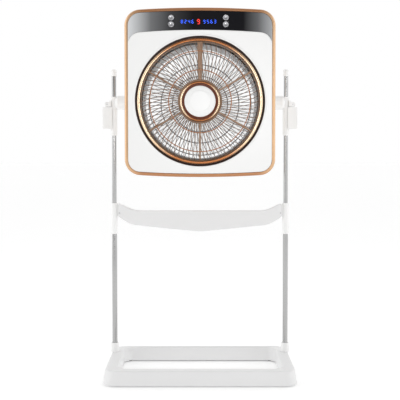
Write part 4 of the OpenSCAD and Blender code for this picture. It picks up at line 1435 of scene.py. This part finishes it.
class FAN_OT_grille(bpy.types.Operator):
    """Grille rings, louvre wheel and hub"""

    bl_idname = "fan.grille"
    bl_label = "Grille and louvre wheel"

    def execute(self, context):
        grille_rings()
        louvre_wheel()
        hub_trim()
        return {"FINISHED"}


# ------------------------------------------------------------------ impeller and back


def impeller():
    """Six broad, curved blades on a round hub."""
    tip = width("impeller", 2) / 2
    hub_r, hub_back = 45 * MM, behind("blade_nut") - 24 * MM
    hub_front = behind("blade_nut")
    mid = (hub_back + hub_front) / 2
    begin("blade", bpy.ops.mesh.primitive_grid_add, x_subdivisions=14, y_subdivisions=14, size=1)
    blade = close()
    pitch = math.radians(24)
    for vertex in blade.data.vertices:
        out, across = vertex.co.x + 0.5, vertex.co.y
        r = hub_r - 4 * MM + (tip - hub_r + 4 * MM) * out
        half_chord = (26 + 26 * out ** 0.8) * MM * (1 - 0.10 * (2 * across) ** 4 * out)
        along = 2 * across * half_chord
        lean = pitch * (1.15 - 0.3 * out)
        camber = 5 * MM * (1 - (2 * across) ** 2)
        turn = (along * math.cos(lean)) / max(r, 60 * MM) + 0.16 * out
        vertex.co = (r * math.cos(turn), r * math.sin(turn), mid + along * math.sin(lean) + camber)
    modify(blade, "SOLIDIFY", thickness=2.0 * MM, offset=0)
    reopen(blade)
    close()
    smooth(blade, 50)
    parts = [copies(blade, around(6, math.radians(30)))]
    cup = [(4 * MM, hub_back + 3 * MM), (9 * MM, hub_back + 3 * MM), (9 * MM, hub_front - 3 * MM),
           (hub_r - 2.5 * MM, hub_front - 3 * MM), (hub_r - 2.5 * MM, hub_back),
           (hub_r, hub_back), (hub_r, hub_front - 4 * MM), (hub_r - 5 * MM, hub_front),
           (4 * MM, hub_front)]
    parts.append(smooth(turned("hub", eased(cup, 1.4 * MM, 3, loop=True), 96, ring=True)))
    fan = join(parts, "impeller_piece")
    done(place(fan, HEAD), frosted_white(), "impeller")


def blade_nut():
    """Ribbed nut that holds the impeller on its shaft."""
    r, back, front = 9.6 * MM, behind("blade_nut"), ahead("blade_nut")
    body = turned("nut", eased([(r, back), (r, front - MM), (r - 2 * MM, front), (0.0, front)],
                               MM, 3), 48)
    rib = rod("rib", 1.2 * MM, (r, 0, back + 0.2 * MM), (r, 0, front - 2 * MM), 12)
    parts = [body, copies(rib, around(12))]
    done(place(smooth(join(parts, "blade_nut_piece")), HEAD), dark_matt(), "blade_nut")


def rear_guard():
    """Rear guard: radial ribs between a rim and the disc that carries the motor."""
    s = sizes()
    back, front = behind("rear_guard"), ahead("rear_guard")
    r = width("rear_guard") / 2
    hub = 54 * MM
    mid = (back + front) / 2
    rib = slab("rib", [(hub - MM, 0.9 * MM), (hub - MM, -0.9 * MM), (r - 6 * MM, -0.8 * MM),
                       (r - 6 * MM, 0.8 * MM)], back + 0.3 * MM, front)
    soften(rib, 0.4 * MM, 2)
    parts = [copies(rib, around(s.ribs, 0.5 * FULL_TURN / s.ribs))]
    rim = [(r - 6.5 * MM, back), (r, back), (r, front), (r - 6.5 * MM, front)]
    parts.append(smooth(turned("rim", eased(rim, 0.9 * MM, 3, loop=True), 144, ring=True)))
    for hoop_r in (r - 24 * MM, r - 58 * MM, r - 90 * MM):
        hoop = arc(hoop_r, mid, 1.3 * MM, 0, FULL_TURN, 8)[:-1]
        parts.append(smooth(turned("hoop", hoop, 128, ring=True), 60))
    disc = [(hub, front), (hub, back + 0.6 * MM), (hub - 3 * MM, back), (hub - 16 * MM, back + MM),
            (18 * MM, back + MM), (16 * MM, back + 0.2 * MM), (0.0, back + 0.2 * MM)]
    parts.append(smooth(turned("disc", eased(disc, 0.8 * MM, 3), 96)))
    guard = join(parts, "rear_guard_piece")
    done(place(guard, HEAD), guard_grey(), "rear_guard")


def cord_inlet():
    """Gland that the mains lead would pass through."""
    at = in_head("cord_inlet")
    back, front = behind("cord_inlet"), ahead("cord_inlet")
    body = [(4 * MM, back), (9 * MM, back), (11 * MM, back + MM), (11 * MM, back + 2.5 * MM),
            (8 * MM, back + 2.5 * MM), (8 * MM, back + 5.5 * MM), (11 * MM, back + 5.5 * MM),
            (11 * MM, back + 9 * MM), (8 * MM, back + 9.5 * MM), (8 * MM, front), (4 * MM, front)]
    gland = turned("cord_inlet_piece", eased(body, 0.5 * MM, 2, loop=True), 48, ring=True)
    place(gland, HEAD @ Matrix.Translation((at.x, at.y, 0)))
    done(smooth(gland), dark_matt(), "cord_inlet")


def housing_screws():
    """Guard screws on the back, long screws in their wells, and the spider's screws."""
    back = behind("rear_shell")
    one = screw("housing_screws_piece", 3.5 * MM, 2.2 * MM, 1.6 * MM, 5 * MM)
    facing_back = Matrix.Rotation(math.radians(180), 4, "X")
    guard, spider_row = width("rear_guard") / 2, 166.4 * MM
    rows = ((guard + 6 * MM, 30, back), (guard - 3 * MM, 0, back),
            (spider_row, 30, behind("louvre_spider")))
    places = [turn @ Matrix.Translation((r, 0, z)) @ facing_back
              for r, start, z in rows for turn in around(6, math.radians(start))]
    boss_front = 20 * MM
    places += [Matrix.Translation((x, y, boss_front)) @ facing_back for x, y in screw_wells()]
    screws = copies(one, places)
    done(place(smooth(screws), HEAD), bright_steel(), "housing_screws")


class FAN_OT_impeller(bpy.types.Operator):
    """Impeller with its nut"""

    bl_idname = "fan.impeller"
    bl_label = "Impeller"

    def execute(self, context):
        impeller()
        blade_nut()
        return {"FINISHED"}


class FAN_OT_back(bpy.types.Operator):
    """Rear guard, cord inlet and the housing's screws"""

    bl_idname = "fan.back"
    bl_label = "Back"

    def execute(self, context):
        rear_guard()
        cord_inlet()
        housing_screws()
        return {"FINISHED"}


class FAN_OT_inside(bpy.types.Operator):
    """Finishes for the CAD pieces that keep their own shape"""

    bl_idname = "fan.inside"
    bl_label = "Inner pieces"

    def execute(self, context):
        for name, piece in frame["nodes"].items():
            material = SLOT_FINISH[SLOT_OF[name]]()
            if not piece.data.materials:
                piece.data.materials.append(material)
            for slot in piece.material_slots:
                slot.material = material
        return {"FINISHED"}


# ------------------------------------------------------------------ stage


def area_light(name, at, aim, wide, tall, power):
    """A soft box at one place, aimed at another."""
    data = bpy.data.lights.new(name, "AREA")
    data.shape = "RECTANGLE"
    data.size, data.size_y = wide, tall
    data.energy = power
    light = bpy.data.objects.new(name, data)
    bpy.context.scene.collection.objects.link(light)
    way = Vector(aim) - Vector(at)
    light.matrix_world = (Matrix.Translation(at)
                          @ way.to_track_quat("-Z", "Y").to_matrix().to_4x4())
    return light


def studio_sky():
    """White beside and behind the fan, dimmer overhead and towards the camera."""
    world = bpy.data.worlds.new("studio")
    world.use_nodes = True
    tree = world.node_tree
    way = node(tree, "ShaderNodeSeparateXYZ",
               {0: node(tree, "ShaderNodeTexCoord").outputs["Generated"]})
    aside = node(tree, "ShaderNodeMath", {0: way.outputs["X"]}, operation="ABSOLUTE").outputs[0]
    level = node(tree, "ShaderNodeMath", {0: aside, 1: way.outputs["Y"]},
                 operation="ADD").outputs[0]
    unit = node(tree, "ShaderNodeMapRange",
                {"Value": level, "From Min": -1.0, "From Max": 1.0}).outputs[0]
    shade = node(tree, "ShaderNodeValToRGB", {0: unit})
    ramp = shade.color_ramp
    ramp.elements.new(0.3)
    for element, (at, grey) in zip(ramp.elements, ((0.0, 0.42), (0.5, 0.58), (0.85, 1.0))):
        element.position = at
        element.color = (grey, grey, grey, 1)
    tree.links.new(shade.outputs[0], tree.nodes["Background"].inputs["Color"])
    return world


def camera():
    """Camera a little above the head's lower edge, looking a little down."""
    data = bpy.data.cameras.new("camera")
    data.sensor_width = 36.0
    data.lens = 68.1
    data.shift_y = -0.06
    eye = bpy.data.objects.new("camera", data)
    bpy.context.scene.collection.objects.link(eye)
    eye.location = (0, -2.010, 0.599)
    eye.rotation_euler = (math.radians(87.95), 0, 0)
    bpy.context.scene.camera = eye


class FAN_OT_stage(bpy.types.Operator):
    """Pale floor, soft studio light and the camera"""

    bl_idname = "fan.stage"
    bl_label = "Stage"

    def execute(self, context):
        begin("floor", bpy.ops.mesh.primitive_plane_add, size=60)
        floor = close()
        floor.data.materials.append(
            finish("floor", (0.93, 0.93, 0.93), roughness=0.6, grain=40.0, variation=0.01, bump=0.0,
                   emission_color=(1, 1, 1, 1), emission_strength=0.21)
        )
        context.scene.world = studio_sky()
        target = (0, 0, 0.6)
        area_light("left_box", (-2.3, -0.7, 1.3), target, 1.0, 2.2, 10)
        area_light("right_box", (2.3, -0.7, 1.3), target, 1.0, 2.2, 8)
        area_light("front_box", (0.25, -3.4, 0.9), target, 0.8, 0.6, 9)
        context.scene.view_settings.view_transform = "Standard"
        camera()
        return {"FINISHED"}


# ------------------------------------------------------------------ add-on


STEPS = (
    FAN_OT_stage, FAN_OT_inside, FAN_OT_base, FAN_OT_posts, FAN_OT_carriage, FAN_OT_housing,
    FAN_OT_controls, FAN_OT_grille, FAN_OT_impeller, FAN_OT_back,
)


class FAN_PT_panel(bpy.types.Panel):
    """Steps that build the fan, in order"""

    bl_idname = "FAN_PT_panel"
    bl_label = "Box fan"
    bl_space_type = "VIEW_3D"
    bl_region_type = "UI"
    bl_category = "Fan"

    def draw(self, context):
        for step in STEPS:
            self.layout.operator(step.bl_idname)


CLASSES = (FanSizes, FanColours, *STEPS, FAN_PT_panel)


def register():
    for each in CLASSES:
        bpy.utils.register_class(each)
    bpy.types.Scene.fan_sizes = PointerProperty(type=FanSizes)
    bpy.types.Scene.fan_colours = PointerProperty(type=FanColours)


def unregister():
    del bpy.types.Scene.fan_colours
    del bpy.types.Scene.fan_sizes
    for each in reversed(CLASSES):
        bpy.utils.unregister_class(each)


def main():
    register()
    for step in STEPS:
        group, name = step.bl_idname.split(".")
        getattr(getattr(bpy.ops, group), name)()


if __name__ == "__main__":
    main()
